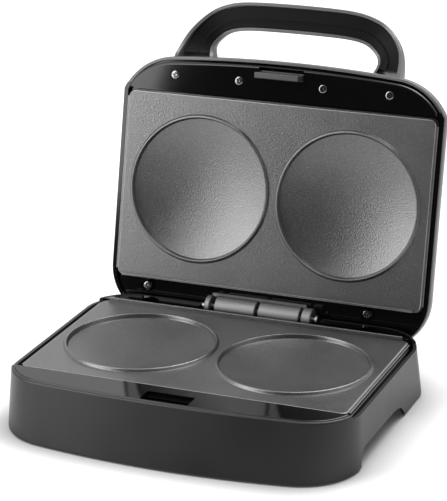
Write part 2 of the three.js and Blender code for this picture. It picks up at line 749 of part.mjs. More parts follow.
// Bottom cover with four legs for the rubber feet, vent slots and the frame's screws
const coverPlan = plan(basePlanAt(coverZ + coverThickness), baseWall + 2 * clearance);
const legPlaces = [];
for (const side of [-1, 1]) {
  for (const [end, y] of [['front', -legFrontY], ['rear', legRearY]]) {
    legPlaces.push({ name: `${end}_${side < 0 ? 'left' : 'right'}`, x: side * legX, y });
  }
}
const coverScrews = [];
for (const side of [-1, 1]) {
  coverScrews.push([side * frontPostX, -(wellFront + deckThickness / 2 + postRadius)]);
  coverScrews.push([side * rearPostX, recessY]);
}

function bottomCover() {
  let cover = prism(coverPlan, [coverZ, coverZ + coverThickness]);
  const legZone = prism(coverPlan, [tableZ, coverZ + coverThickness]);
  for (const { x, y } of legPlaces) {
    const leg = rod(legRadius, x, y, [housingBottom, coverZ + coverThickness / 2])
      .intersect(legZone);
    const socket = rod(footRadius + clearance, x, y, [housingBottom - overrun,
      housingBottom + footInsertDepth]);
    cover = cut(join(cover, leg), socket);
  }
  for (let i = 0; i < ventCount; i += 1) {
    const x = (i - (ventCount - 1) / 2) * ventPitch;
    cover = cut(cover, block([x - ventWidth / 2, x + ventWidth / 2],
      [-ventLength / 2, ventLength / 2], [coverZ - overrun, coverZ + coverThickness + overrun]));
  }
  const through = [coverZ - overrun, coverZ + coverThickness + overrun];
  const holes = coverScrews.map(([x, y]) => rod(screwShank + clearance, x, y, through, screwFacets));
  return cut(cover, glandRun(bushingLength + 2 * baseWall), holes);
}

piece('bottom_cover', bottomCover(), 'black', base);
coverScrews.forEach(([x, y], i) => {
  screw(`cover_screw_${i + 1}`, x, y, coverZ - clearance, true, base);
});
for (const { name, x, y } of legPlaces) {
  const top = housingBottom + footInsertDepth - clearance;
  const foot = turned([[0, tableZ], [footRadius - footProud, tableZ], [footRadius, tableZ + footProud],
    [footRadius, top], [0, top]]);
  const mesh = piece(`${name}_foot`, foot, 'rubber', base);
  mesh.position.set(x, y, 0);
}

piece('thermostat', turned(thermostatProfile), 'ceramic', base).position.set(0, thermostatY, 0);
piece('thermal_fuse', rodAlongX(fuseRadius, [-fuseHalfLength, fuseHalfLength], -fuseY, fuseZ,
  holeFacets),
  'steel', base);
const terminalY = baseRear - terminalFromRear;
const terminalZ = coverZ + coverThickness + clearance;
const terminalTop = ledgeBottom - clearance - reflectorDrop - 3 * clearance;
piece('terminal_block', block([terminalX - terminalWidth / 2, terminalX + terminalWidth / 2],
  [terminalY - terminalLength / 2, terminalY + terminalLength / 2],
  [terminalZ, terminalTop]), 'ceramic', base);

// Cord bushing in the rear wall: a flanged sleeve with an empty bore
const bushingInner = -bushingLength / 2;
const bushingOuter = baseWall + bushingLength / 2;
const bushingSeat = baseWall + clearance;
const bushingProfile = [[bushingBore, bushingInner], [bushingRadius, bushingInner],
  [bushingRadius, bushingSeat], [bushingRadius + bushingFlange, bushingSeat],
  [bushingRadius + bushingFlange, bushingSeat + bushingFlange],
  [bushingRadius - bushingFlange, bushingOuter], [bushingBore, bushingOuter],
  [bushingBore, bushingInner]];
const bushing = piece('cord_bushing', turned(bushingProfile), 'black', base);
bushing.rotation.x = -Math.PI / 2;
bushing.position.set(bushingX, baseRear - baseWall, -bushingBelowPanel);

// Hinge: two steel leaves with rolled barrels on one pin
function hingeLeaf(barrels, way, leafFace) {
  const first = Math.min(...barrels.flat());
  const last = Math.max(...barrels.flat());
  const edge = hingeRise + way * (leafFace - leafThickness - hingeRise);
  const leafSpan = way > 0 ? [edge, edge + leafThickness] : [edge - leafThickness, edge];
  const rearEdge = way > 0 ? hingeY + leafHalfWidth : baseRear - baseWall;
  let leaf = block([first, last], [hingeY - leafHalfWidth, rearEdge], leafSpan);
  for (const [from, to] of barrels) {
    const saddle = way > 0 ? [hingeRise, edge + leafThickness / 2]
      : [edge - leafThickness / 2, hingeRise];
    leaf = join(leaf, rodAlongX(barrelRadius, [from, to], hingeY, hingeRise),
      block([from, to], [hingeY - saddleHalfWidth, hingeY + saddleHalfWidth], saddle));
  }
  return cut(leaf, rodAlongX(barrelBore, [first - overrun, last + overrun], hingeY, hingeRise,
    holeFacets));
}

const leafFace = lidRearDeckZ - clearance;
let baseLeaf = hingeLeaf([baseBarrel, baseKnuckle], -1, leafFace);
let lidLeaf = hingeLeaf([lidKnuckle, lidBarrel], 1, leafFace);
const boreRoom = barrelBore + 2 * clearance;
for (const x of baseHingeScrewX) {
  baseLeaf = cut(baseLeaf, rod(screwShank + clearance, x, hingeScrewY,
    [2 * hingeRise - leafFace - overrun, hingeRise - boreRoom], screwFacets));
}
for (const x of lidHingeScrewX) {
  lidLeaf = cut(lidLeaf, rod(screwShank + clearance, x, hingeScrewY,
    [hingeRise + boreRoom, leafFace + overrun], screwFacets));
}
piece('base_hinge_leaf', baseLeaf, 'steel', base);
piece('lid_hinge_leaf', lidLeaf, 'steel', lid);
const pinNeck = pinHalfLength - pinHeadLength;
const pinRod = rodAlongX(pinRadius, [-pinHalfLength, pinNeck + pinHeadLength / 2], hingeY,
  hingeRise, holeFacets);
const pinHead = rodAlongX(pinHeadRadius, [pinNeck, pinHalfLength], hingeY, hingeRise, holeFacets);
piece('hinge_pin', join(pinRod, pinHead), 'steel', base);
baseHingeScrewX.forEach((x, i) => {
  const seat = pocketFloor - ledgeThickness - clearance;
  screw(`base_hinge_screw_${i + 1}`, x, hingeScrewY, seat, true, base);
});
lidHingeScrewX.forEach((x, i) => {
  const seat = lidRearDeckZ + deckThickness + clearance;
  screw(`lid_hinge_screw_${i + 1}`, x, hingeScrewY, seat, false, lid);
});

// The lid shell's pillow form, drawn in by a wall for its hollow
function pillow(wall) {
  const rings = [plan(lidPlan, wall > 0 ? wall : lidRimLean)];
  const heights = [wall > 0 ? lidRimZ - overrun : lidRimZ];
  for (const [rise, lean] of lidProfileShares) {
    rings.push(plan(lidPlan, wall + lean * lidCrownInset));
    heights.push(lidRimZ + rise * (lidDepth - wall));
  }
  return loft(rings, heights);
}

// A body swept through rings of points in space, all made from one section of shares
function sweep(rings, section) {
  const count = section.length;
  const index = [];
  for (let level = 0; level < rings.length - 1; level += 1) {
    for (let i = 0; i < count; i += 1) {
      const a = level * count + i;
      const b = level * count + (i + 1) % count;
      index.push(a, b, b + count, a, b + count, a + count);
    }
  }
  const last = (rings.length - 1) * count;
  THREE.ShapeUtils.triangulateShape(section.map(([u, v]) => new THREE.Vector2(u, v)), [])
    .forEach(([a, b, c]) => index.push(c, b, a, last + a, last + b, last + c));
  const geometry = new THREE.BufferGeometry().setFromPoints(rings.flat());
  geometry.setIndex(index);
  return solidOf(geometry);
}

// Front edge of the handle's band, mirrored from half of its points
function bandEdge(shares) {
  const right = shares.map(([x, out, up]) => new THREE.Vector3(x * handleHalfWidth,
    handleRootY - out * handleReach, handleFaceZ + up * handleRise));
  const left = right.map((p) => new THREE.Vector3(-p.x, p.y, p.z));
  return new THREE.CatmullRomCurve3([...left.slice(0, -1), ...right.reverse()])
    .getPoints(handleSteps);
}

// Handle band: its section is given by shares across from the outer edge and back from the face,
// with the rims and the clearances in real sizes
const outerEdge = bandEdge(handleOuterShares);
const innerEdge = bandEdge(handleInnerShares);

function band(sectionAt) {
  const rings = outerEdge.map((outer, i) => {
    const inner = innerEdge[i];
    const width = Math.hypot(inner.x - outer.x, inner.y - outer.y);
    return sectionAt(width).map(([across, deep, lift = 0]) => {
      const point = new THREE.Vector3().lerpVectors(outer, inner, across);
      point.z += (handleFaceZ + handleBackRise - point.z) * deep - lift;
      return point;
    });
  });
  return sweep(rings, sectionAt(handleHalfWidth));
}

const handleBody = band((width) => {
  const rim = handleRim / width;
  return [...handleSectionShares, [rim, 0], [rim, channelDepthShare],
    [1 - rim, channelDepthShare], [1 - rim, 0]];
});

const lampPlaces = [-lampPitch / 2, lampPitch / 2];

function lidShell() {
  let shell = cut(join(pillow(0), handleBody), pillow(lidWall));
  for (const x of lampPlaces) {
    shell = cut(shell, rod(lampRadius + clearance, x, lampY,
      [lidTopZ - lidWall - overrun, lidTopZ + overrun]));
  }
  return shell;
}

piece('lid_shell', lidShell(), 'silver', lid);

// Handle liner: a black filling in the channel, with one low rail along it
const [railFrom, railTo, railTop] = linerRailShares;
const linerBody = band((width) => {
  const side = (handleRim + 2 * clearance) / width;
  return [[side, linerFaceShare], [railFrom, linerFaceShare], [railFrom, railTop],
    [railTo, railTop], [railTo, linerFaceShare], [1 - side, linerFaceShare],
    [1 - side, channelDepthShare, clearance], [side, channelDepthShare, clearance]];
});
const beforeLid = block([-lidHalf, lidHalf], [-lidFront - handleReach * 2, -lidFront - clearance],
  [handleFaceZ, handleFaceZ + 2 * handleBackRise]);
piece('handle_liner', linerBody.intersect(beforeLid), 'black', lid);

// Signal lamps: domed lenses through the lid's top
const lampSeat = lidTopZ - lidWall - clearance;
const [lampShoulder, lampCrown] = lampShoulderShares;
['power_lamp', 'ready_lamp'].forEach((name, i) => {
  const lens = turned([[0, lampSeat - lampFlange], [lampRadius + lampFlange, lampSeat - lampFlange],
    [lampRadius + lampFlange, lampSeat], [lampRadius, lampSeat], [lampRadius, lidTopZ],
    [lampRadius * lampShoulder, lidTopZ + lampProud * lampCrown], [0, lidTopZ + lampProud]]);
  piece(name, lens, i === 0 ? 'red' : 'green', lid).position.set(lampPlaces[i], lampY, 0);
});

// Lid frame: ledge round the plate, front deck with the latch slot, rear deck with two bosses
function lidFrame() {
  const inside = lidWall + clearance;
  const wide = [-lidHalf, lidHalf];
  const ledge = prism(plan(lidPlan, inside), [lidLedgeZ, lidLedgeTop]);
  const frontZone = block(wide, [-lidFront, -wellFront], [lidDeckZ, lidLedgeTop]);
  const deck = loft([plan(deckPlan, lidDeckChamfer), plan(deckPlan), plan(deckPlan)],
    [lidDeckZ, lidDeckZ + lidDeckChamfer, lidLedgeTop]).intersect(frontZone);
  const rearZone = block(wide, [wellRear, lidRear], [lidRearDeckZ, lidLedgeTop]);
  const rearDeck = prism(plan(lidPlan, inside), [lidRearDeckZ, lidLedgeTop]).intersect(rearZone);
  const opening = prism(plateRing(ledgeReach), [lidDeckZ - overrun, lidLedgeTop + overrun]);
  const frontRoom = prism(plan(deckPlan, deckThickness),
    [lidDeckZ + deckThickness, lidLedgeTop + overrun]).intersect(
    block(wide, [-lidFront, -wellFront - deckThickness], [lidDeckZ, lidLedgeTop + overrun]));
  const rearRoom = prism(plan(lidPlan, inside + deckThickness), [lidRearDeckZ + deckThickness,
    lidLedgeTop + overrun]).intersect(block(wide, [wellRear + deckThickness, lidRear],
    [lidRearDeckZ, lidLedgeTop + overrun]));
  const rimZone = block(wide, [-lidSideRimFront, lidRear], [panelGap, lidLedgeTop]);
  const rimInner = inside + deckThickness / 2;
  const rimTop = lidRimZ - clearance;
  const sideRim = cut(join(prism(plan(lidPlan, lidSideRimInset), [rimTop - lidSideRimHeight, rimTop]),
    prism(plan(lidPlan, inside), [rimTop - lidSideRimHeight, lidLedgeZ + ledgeThickness / 2])),
  prism(plan(lidPlan, rimInner), [rimTop - lidSideRimHeight - overrun, lidLedgeZ]))
    .intersect(rimZone);
  const springRoom = block([-latchHalfWidth - latchFlangeReach - deckThickness,
    latchHalfWidth + latchFlangeReach + deckThickness], [-lidFront, -wellFront - deckThickness],
  [lidDeckZ + deckThickness, lidLedgeTop + overrun]);
  const plateRoom = prism(plateRing(-skirtFlange - clearance), [lidDeckZ - overrun, lidLedgeZ]);
  let frame = cut(join(ledge, deck, rearDeck, sideRim), opening, frontRoom, rearRoom, springRoom);
  const slotX = [-latchHalfWidth - 2 * clearance, latchHalfWidth + 2 * clearance];
  frame = cut(frame, block(slotX,
    [latchY - latchSlotFront, latchY + latchThickness + latchSlotRear],
    [lidDeckZ - overrun, lidDeckZ + deckThickness + overrun]));
  for (const side of [-1, 1]) {
    for (const x of deckScrewX) {
      const post = rod(deckScrewHead + deckThickness, side * x, -lidFront + deckScrewBack,
        [lidDeckZ, lidLedgeTop]);
      frame = cut(join(frame, post), screwRoom(side * x, -lidFront + deckScrewBack,
        lidDeckZ + screwHeadHeight, true));
    }
    const x = side * bossX - bossShift;
    const y = plateHalfDepth + bossBack;
    const boreRadius = deckScrewHead + clearance;
    const collar = rod(boreRadius + bossWall, x, y, [lidRearDeckZ - bossProud, lidLedgeTop]);
    const bore = rod(boreRadius, x, y, [lidRearDeckZ - bossProud - overrun,
      lidRearDeckZ + clearance]);
    frame = cut(join(frame, collar), bore, screwRoom(x, y, lidRearDeckZ, true)[1]);
  }
  for (const x of lidHingeScrewX) {
    frame = cut(frame, rod(screwShank + clearance, x, hingeScrewY,
      [lidRearDeckZ - overrun, lidRearDeckZ + deckThickness + overrun], screwFacets));
  }
  return cut(frame, plateRoom);
}

piece('lid_frame', lidFrame(), 'gloss', lid);
deckScrewX.forEach((x, i) => {
  for (const side of [-1, 1]) {
    screw(`deck_screw_${side < 0 ? 'left' : 'right'}_${i + 1}`, side * x, -lidFront + deckScrewBack,
      lidDeckZ + screwHeadHeight, true, lid);
  }
});
for (const side of [-1, 1]) {
  screw(`boss_screw_${side < 0 ? 'left' : 'right'}`, side * bossX - bossShift, plateHalfDepth + bossBack,
    lidRearDeckZ, true, lid);
}

// Latch tongue: a flat bar through the lid's slot, with a flange inside and a small nose
const tongueX = [-latchHalfWidth, latchHalfWidth];
const flangeZ = lidDeckZ + deckThickness + clearance;
const flangeHalf = latchHalfWidth + latchFlangeReach;
const tongueBar = block(tongueX, [latchY, latchY + latchThickness],
  [latchTipZ, lidDeckZ + latchTailRise]);
const tongueFlange = block([-flangeHalf, flangeHalf],
  [latchY - latchFlangeReach / 2, latchY + latchThickness + latchFlangeReach],
  [flangeZ, flangeZ + latchFlangeThickness]);
const tongueNose = sidePrism([[latchY + latchThickness / 2, latchTipZ],
  [latchY + latchThickness + latchNoseReach / 2, latchTipZ],
  [latchNoseY, latchTipZ + latchNoseHeight],
  [latchY + latchThickness / 2, latchTipZ + 2 * latchNoseHeight]], tongueX);
piece('latch_tongue', join(tongueBar, tongueFlange, tongueNose), 'steel', lid);

// Leaf spring that keeps the tongue to the rear of its slot
const springRear = latchY - clearance;
const springFoot = flangeZ + latchFlangeThickness + clearance;
const springArc = [];
for (let i = 0; i <= springFacets; i += 1) {
  const s = 2 * i / springFacets - 1;
  springArc.push(new THREE.Vector2(springHalfLength * s, springRear - springThickness - springBow * s * s));
}
const springBack = springArc.map((p) => new THREE.Vector2(p.x, p.y + springThickness)).reverse();
const spring = prism([...springArc, ...springBack], [springFoot, springFoot + latchTailRise / 2]);
piece('latch_spring', spring, 'steel', lid);

// The origin is the middle of the standing part's box, on the table
const box = new THREE.Box3().setFromObject(product, true);
product.position.set(-(box.min.x + box.max.x) / 2, -(box.min.y + box.max.y) / 2, -box.min.z);

export default product;
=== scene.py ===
import math

import bmesh
import bpy
from mathutils import Matrix, Vector


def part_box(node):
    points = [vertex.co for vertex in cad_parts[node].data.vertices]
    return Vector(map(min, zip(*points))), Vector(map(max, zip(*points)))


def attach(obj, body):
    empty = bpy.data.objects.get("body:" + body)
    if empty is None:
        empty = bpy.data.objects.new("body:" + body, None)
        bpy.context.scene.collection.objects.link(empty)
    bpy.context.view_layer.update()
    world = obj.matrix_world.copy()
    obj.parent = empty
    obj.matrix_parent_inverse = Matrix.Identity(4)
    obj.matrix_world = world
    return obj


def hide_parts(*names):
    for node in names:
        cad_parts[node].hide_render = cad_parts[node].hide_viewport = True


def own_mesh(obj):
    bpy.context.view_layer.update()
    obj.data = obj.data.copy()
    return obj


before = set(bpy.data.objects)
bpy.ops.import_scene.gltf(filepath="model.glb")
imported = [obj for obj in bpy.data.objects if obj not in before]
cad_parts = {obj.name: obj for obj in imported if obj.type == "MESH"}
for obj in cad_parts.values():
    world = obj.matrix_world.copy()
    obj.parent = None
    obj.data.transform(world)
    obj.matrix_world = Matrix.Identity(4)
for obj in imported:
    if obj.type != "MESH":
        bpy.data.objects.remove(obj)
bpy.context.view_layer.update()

# Sizes in millimetres: heights from the lower cooking panel, the lid drawn shut.
# Cooking plates with their dishes
PLATE_HALF = 120.9
PLATE_HALF_DEPTH = 70.85
PLATE_CORNER = 5
PLATE_EDGE = 1.1
PLATE_UNDER = -3
SKIRT_BOTTOM = -6
SKIRT_WALL = 2.2
FLANGE = 0.9
GAP = 8.0
DISH_X = 58.6
DISH_Y = -1.1
BEAD_FOOT = 54.5
BEAD_WIDTH = 1.9
BEAD_TOP = 2.2
BOWL_RADIUS = 52.8
BOWL_FLOOR = -8.2
BOWL_RISE = 7.2
BORDER_HALF_DEPTH = 66

# Table and hinge
TABLE = -42.2
HINGE_Y = 84.98
HINGE_Z = 0.36
OPEN = math.radians(102.24)
BARREL = 8.5
PIN = 2.5
LEAF_REACH = 9

# Walls, decks, gaps, the smallest corner, and how far a cutting solid reaches past what it cuts
WALL = 2.4
DECK = 2.2
THIN = DECK / 2
GAP_FIT = 0.3
FRAME_INSET = WALL + GAP_FIT
FRAME_OPENING = 6
LEAST_CORNER = 2.5
OVER = 2.0
WIDE = 140

# Base
BASE_HALF = 128.9
BASE_FRONT = 102.15
BASE_REAR = 90.0
BASE_BOTTOM = -41.0
FRONT_DECK = 1.1
REAR_DECK = 0.6
LEDGE_TOP = -6.3
LEDGE_BOTTOM = -8.5
WELL_FRONT = 73.25
WELL_REAR = 72.15
POCKET_HALF = 49.7
POCKET_FLOOR = -11.28
RECESS_X = 87
RECESS_Y = 79.55
RECESS_DEPTH = 8
RECESS_MOUTH = 7
RECESS_TUBE = 8.4
SHANK = 1.9
POST = 5
POST_FOOT = -25.6
POST_FRONT_X = 84
POST_REAR_X = 64
CORD_X = -30
CORD_HEIGHT = 17
CORD_HOLE = 5.3

# Lid
LID_HALF = 126.8
LID_FRONT = 102.0
LID_REAR = 101.0
LID_CORNER = 46.5
LID_REAR_CORNER = 38
LID_BOW = 3.5
LID_RIM = 11.4
LID_DEPTH = 36.0
LID_LEAN = 44
LID_DECK = 6.9
LID_REAR_DECK = 12.0
DECK_SETBACK = 4.2
DECK_CORNER = 43.5
DECK_EDGE = 2.0
DECK_SCREWS_X = (33, 84.3)
DECK_SCREW_Y = -LID_FRONT + 16.9
DECK_SCREW_SEAT = 1.8
BOSS_X = 88
BOSS_SHIFT = -8.5
BOSS_Y = PLATE_HALF_DEPTH + 6.2
SCREW_SEAT = 3.7
LAMP_X = 12
LAMP_Y = -34
LAMP_HOLE = 3.9

# Latch with its leaf spring
LATCH_Y = -93.4
LATCH_HALF = 17
LATCH_DEPTH = 3.3
LATCH_DROP = 11
SLOT_HALF = 17.6
WELL_DEPTH = 10
SPRING_HALF = 14
SPRING_CREST = LATCH_Y - 0.9
SPRING_BOW = 3.2
SPRING_SHEET = 0.6
SPRING_ROOM = 21.2

# Handle
HANDLE_HALF = 88.5
HANDLE_ROOT = -99.5
HANDLE_REACH = 44.3
HANDLE_FACE = 12.0
HANDLE_RISE = 23.3
HANDLE_BACK = 43.0
HANDLE_RIM = 2.6

# Steps of a corner, of a round solid, of a dish and of a bowl's curve
CORNER_STEPS = 28
ROUND_STEPS = 48
DISH_STEPS = 128
BOWL_STEPS = 16

# From these sizes to the frame in metres, for the base, the lid and the turned upper plate
plate_low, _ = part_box("lower_plate")
shift = Vector((0, plate_low.y * 1000 + PLATE_HALF_DEPTH + FLANGE, -TABLE))
hinge = Vector((0, HINGE_Y, HINGE_Z))
BASE = Matrix.Diagonal((0.001, 0.001, 0.001, 1)) @ Matrix.Translation(shift)
LID = (BASE @ Matrix.Translation(hinge) @ Matrix.Rotation(-OPEN, 4, "X")
       @ Matrix.Translation(-hinge))
UPPER = LID @ Matrix.Translation((0, 0, GAP)) @ Matrix.Rotation(math.pi, 4, "Y")


# Solids

def place_object(name, data):
    obj = bpy.data.objects.new(name, data)
    bpy.context.scene.collection.objects.link(obj)
    return obj


def solid(verts, faces):
    mesh = bpy.data.meshes.new("solid")
    mesh.from_pydata(verts, [], faces)
    work = bmesh.new()
    work.from_mesh(mesh)
    bmesh.ops.recalc_face_normals(work, faces=work.faces)
    work.to_mesh(mesh)
    work.free()
    return mesh


def combine(mesh, others, operation):
    target = place_object("work", mesh)
    tools = [place_object("tool", other) for other in others]
    for tool in tools:
        mod = target.modifiers.new("boolean", "BOOLEAN")
        mod.operation = operation
        mod.solver = "MANIFOLD"
        mod.object = tool
    bpy.context.view_layer.update()
    graph = bpy.context.evaluated_depsgraph_get()
    result = bpy.data.meshes.new_from_object(target.evaluated_get(graph))
    for obj in [target, *tools]:
        bpy.data.objects.remove(obj)
    return result


def cut(mesh, *tools):
    return combine(mesh, tools, "DIFFERENCE")


def join(mesh, *others):
    return combine(mesh, others, "UNION")


def meet(mesh, *others):
    return combine(mesh, others, "INTERSECT")


# Closed solid over rings of the same count, which follow each other in one list of points
def skin(verts, count):
    ends = len(verts) - count
    faces = [tuple(reversed(range(count)))]
    for start in range(0, ends, count):
        for i in range(count):
            a = start + i
            b = start + (i + 1) % count
            faces.append((a, b, b + count, a + count))
    faces.append(tuple(range(ends, len(verts))))
    return solid(verts, faces)


def loft(rings, heights):
    verts = [(x, y, z) for ring, z in zip(rings, heights) for x, y in ring]
    return skin(verts, len(rings[0]))


def prism(ring, low, high):
    return loft([ring, ring], [low, high])


def block(x0, x1, y0, y1, z0, z1):
    return prism([(x0, y0), (x1, y0), (x1, y1), (x0, y1)], z0, z1)


# Block across the whole width
def slab(y0, y1, z0, z1):
    return block(-WIDE, WIDE, y0, y1, z0, z1)


def turned(profile, x=0.0, y=0.0, steps=ROUND_STEPS):
    verts, faces, rows = [], [], []
    for r, z in profile:
        if r == 0:
            rows.append([len(verts)] * steps)
            verts.append((x, y, z))
            continue
        rows.append(list(range(len(verts), len(verts) + steps)))
        for i in range(steps):
            a = 2 * math.pi * i / steps
            verts.append((x + r * math.cos(a), y + r * math.sin(a), z))
    for low, high in zip(rows, rows[1:]):
        for i in range(steps):
            j = (i + 1) % steps
            face = []
            for v in (low[i], low[j], high[j], high[i]):
                if v not in face:
                    face.append(v)
            if len(face) > 2:
                faces.append(face)
    return solid(verts, faces)


def rod(radius, x, y, z0, z1, steps=ROUND_STEPS, edge=0.0):
    profile = [(0, z0), (radius, z0), (radius, z1), (0, z1)]
    if edge:
        profile = [(0, z0), (radius - edge, z0), (radius, z0 + edge), (radius, z1 - edge),
                   (radius - edge, z1), (0, z1)]
    return turned(profile, x, y, steps)


def along_x(radius, x0, x1, steps, edge=0.0):
    mesh = rod(radius, 0, 0, x0, x1, steps, edge)
    mesh.transform(Matrix.Translation(hinge) @ Matrix.Rotation(math.pi / 2, 4, "Y"))
    return mesh


# Prism of a side view, its points given as depth and height
def side_prism(points, x0, x1):
    mesh = prism(points, x0, x1)
    mesh.transform(Matrix(((0, 0, 1, 0), (1, 0, 0, 0), (0, 1, 0, 0), (0, 0, 0, 1))))
    return mesh


# Plan of a housing: bowed front, round corners, straight sides and rear, drawn in by an inset.
# The front corners' centres lie further out by past, so they meet the sides at an angle
def plan(half, front, rear, front_corner, rear_corner, bow, inset=0.0, past=0.0):
    half, front, rear = half - inset, front - inset, rear - inset
    front_corner = max(front_corner - inset, LEAST_CORNER)
    rear_corner = max(rear_corner - inset, LEAST_CORNER)
    ring = []

    def arc(x, y, radius, start, end):
        for i in range(CORNER_STEPS + 1):
            angle = start + (end - start) * i / CORNER_STEPS
            ring.append((x + radius * math.cos(angle), y + radius * math.sin(angle)))

    quarter = math.pi / 2
    over = min(past, front_corner / 2)
    corner_x = half - front_corner + over
    corner_y = -front + bow + front_corner
    meeting = math.acos((front_corner - over) / front_corner)
    lean = math.atan(2 * bow / corner_x)
    arc(corner_x, corner_y, front_corner, -quarter + lean, -meeting)
    arc(half - rear_corner, rear - rear_corner, rear_corner, 0, quarter)
    arc(-half + rear_corner, rear - rear_corner, rear_corner, quarter, 2 * quarter)
    arc(-corner_x, corner_y, front_corner, 2 * quarter + meeting, 3 * quarter - lean)
    left, right = ring[-1], ring[0]
    for i in range(1, CORNER_STEPS):
        share = 2 * i / CORNER_STEPS - 1
        ring.append((right[0] * share, -front + (left[1] + front) * share * share))
    return ring


# The base's plan grows and its rear corners tighten from the top down to the bottom edge
def base_plan(z, inset=0.0):
    share = z / BASE_BOTTOM
    half, front = BASE_HALF + 1.4 * share, BASE_FRONT + 13.5 * share
    front_corner, rear_corner = 37 + 8 * share, 33 - 13 * share
    bow = 4.5 + 2.5 * share
    return plan(half, front, BASE_REAR, front_corner, rear_corner, bow, inset)


def lid_plan(inset=0.0):
    return plan(LID_HALF, LID_FRONT, LID_REAR, LID_CORNER, LID_REAR_CORNER, LID_BOW, inset,
                past=4.4)


def deck_plan(inset=0.0):
    return plan(PLATE_HALF, LID_FRONT - DECK_SETBACK, LID_REAR, DECK_CORNER, LID_REAR_CORNER,
                LID_BOW, inset, past=7.9)


def plate_ring(inset):
    return plan(PLATE_HALF, PLATE_HALF_DEPTH, PLATE_HALF_DEPTH, PLATE_CORNER, PLATE_CORNER, 0,
                inset)


# Insets and heights of a quarter round, from the side up to the top face
def rounded(radius, steps=5):
    return [(radius * (1 - math.cos(math.pi / 2 * i / steps)),
             radius * math.sin(math.pi / 2 * i / steps)) for i in range(steps + 1)]


# Materials: each has fine colour change, changing roughness and a small bump

BROAD_SCALE = 22
LEAST_ROUGHNESS = 0.02
COAT_ROUGHNESS = 0.06
BUMP_DEPTH = 0.0002


def fill(node, values):
    for socket, value in values.items():
        if isinstance(value, bpy.types.NodeSocket):
            node.id_data.links.new(value, node.inputs[socket])
        else:
            node.inputs[socket].default_value = value


def add_node(tree, kind, values, **settings):
    node = tree.nodes.new("ShaderNode" + kind)
    for setting, value in settings.items():
        setattr(node, setting, value)
    fill(node, values)
    return node


def grey(level):
    return (level, level, level)


def material(name, colour, rough, metal=0.0, grain=1400.0, bump=0.05, spread=0.12,
             coat=0.0, speck=None, streak=None, rough_spread=0.08, specular=0.5, ior=1.5):
    mat = bpy.data.materials.new(name)
    mat.use_nodes = True
    tree = mat.node_tree
    place = add_node(tree, "TexCoord", {}).outputs["Object"]
    source = place
    if streak:
        source = add_node(tree, "Mapping", {"Vector": place, "Scale": streak}).outputs["Vector"]
    fine = add_node(tree, "TexNoise", {"Vector": source, "Scale": grain, "Detail": 4})
    broad = add_node(tree, "TexNoise", {"Vector": place, "Scale": BROAD_SCALE, "Detail": 3})
    half = add_node(tree, "Math", {0: broad.outputs["Fac"], 1: 0.5}, operation="MULTIPLY")
    mixed = add_node(tree, "Math", {0: fine.outputs["Fac"], 1: 0.5, 2: half.outputs[0]},
                     operation="MULTIPLY_ADD")
    ramp = add_node(tree, "ValToRGB", {"Fac": mixed.outputs[0]})
    for stop, position, factor in zip(ramp.color_ramp.elements, (0.35, 0.65),
                                      (1 - spread, 1 + spread)):
        stop.position = position
        stop.color = (*[min(c * factor, 1) for c in colour], 1)
    colour_out = ramp.outputs["Color"]
    if speck:
        cells = add_node(tree, "TexVoronoi", {"Vector": place, "Scale": speck["scale"]})
        pick = add_node(tree, "Math", {0: cells.outputs["Distance"], 1: speck["size"]},
                        operation="LESS_THAN")
        blend = add_node(tree, "Mix", {"Factor": pick.outputs[0], "A": colour_out,
                                       "B": (*speck["colour"], 1)}, data_type="RGBA")
        colour_out = blend.outputs["Result"]
    smoothest, roughest = max(rough - rough_spread, LEAST_ROUGHNESS), min(rough + rough_spread, 1)
    level = add_node(tree, "MapRange", {"Value": broad.outputs["Fac"], "To Min": smoothest,
                                        "To Max": roughest})
    relief = add_node(tree, "Bump", {"Strength": bump, "Distance": BUMP_DEPTH,
                                     "Height": fine.outputs["Fac"]})
    fill(tree.nodes["Principled BSDF"], {
        "Base Color": colour_out, "Roughness": level.outputs["Result"],
        "Normal": relief.outputs["Normal"], "Metallic": metal, "Coat Weight": coat,
        "Coat Roughness": COAT_ROUGHNESS, "Specular IOR Level": specular, "IOR": ior})
    return mat


charcoal = material("charcoal_plastic", (0.012, 0.012, 0.013), 0.36, grain=2600, bump=0.1,
                    specular=0.4)
gloss = material("gloss_black_plastic", grey(0.002), 0.07, grain=300, bump=0.01,
                 rough_spread=0.03, specular=0.45)
nonstick = material("speckled_nonstick", grey(0.02), 0.31, grain=900, bump=0.9, spread=0.6,
                    speck={"scale": 1000, "size": 0.22, "colour": grey(0.14)},
                    rough_spread=0.05, specular=1.0, ior=1.7)
# Lighter colour for the plate edges: a painted highlight
edge_painted_highlight = material("nonstick_painted_edge_highlight", grey(0.2), 0.3, grain=900, bump=0.2, spread=0.3,
                     rough_spread=0.05, specular=1.0, ior=1.7)
silver = material("silver_grey_lacquer", (0.13, 0.13, 0.134), 0.36, metal=0.3, grain=3000,
                  bump=0.04)
matt_black = material("matt_black_plastic", grey(0.006), 0.6, grain=2000, bump=0.2,
                      specular=0.12)
satin_black = material("satin_black_plastic", grey(0.004), 0.5, grain=2000, bump=0.15,
                       specular=0.12)
steel = material("brushed_steel", grey(0.19), 0.46, metal=1.0, grain=900, bump=0.08,
                 streak=(0.05, 1, 1))
dark_steel = material("blackened_steel", grey(0.09), 0.34, metal=0.6, grain=2500, bump=0.06)
zinc = material("zinc_screw", grey(0.3), 0.3, metal=1.0, grain=2500, bump=0.06)
bright_screw = material("polished_screw", grey(0.26), 0.14, metal=1.0, grain=2500, bump=0.03)
rubber = material("matt_rubber", grey(0.02), 0.85, grain=1500, bump=0.4)
ceramic = material("steatite", (0.62, 0.59, 0.52), 0.6, grain=1200, bump=0.2)
red = material("red_lens", (0.5, 0.02, 0.02), 0.12, grain=400, bump=0.02, coat=0.5)
green = material("green_lens", (0.03, 0.3, 0.08), 0.12, grain=400, bump=0.02, coat=0.5)
sheath = material("element_sheath", (0.12, 0.11, 0.1), 0.45, metal=0.8, grain=1200, bump=0.2)
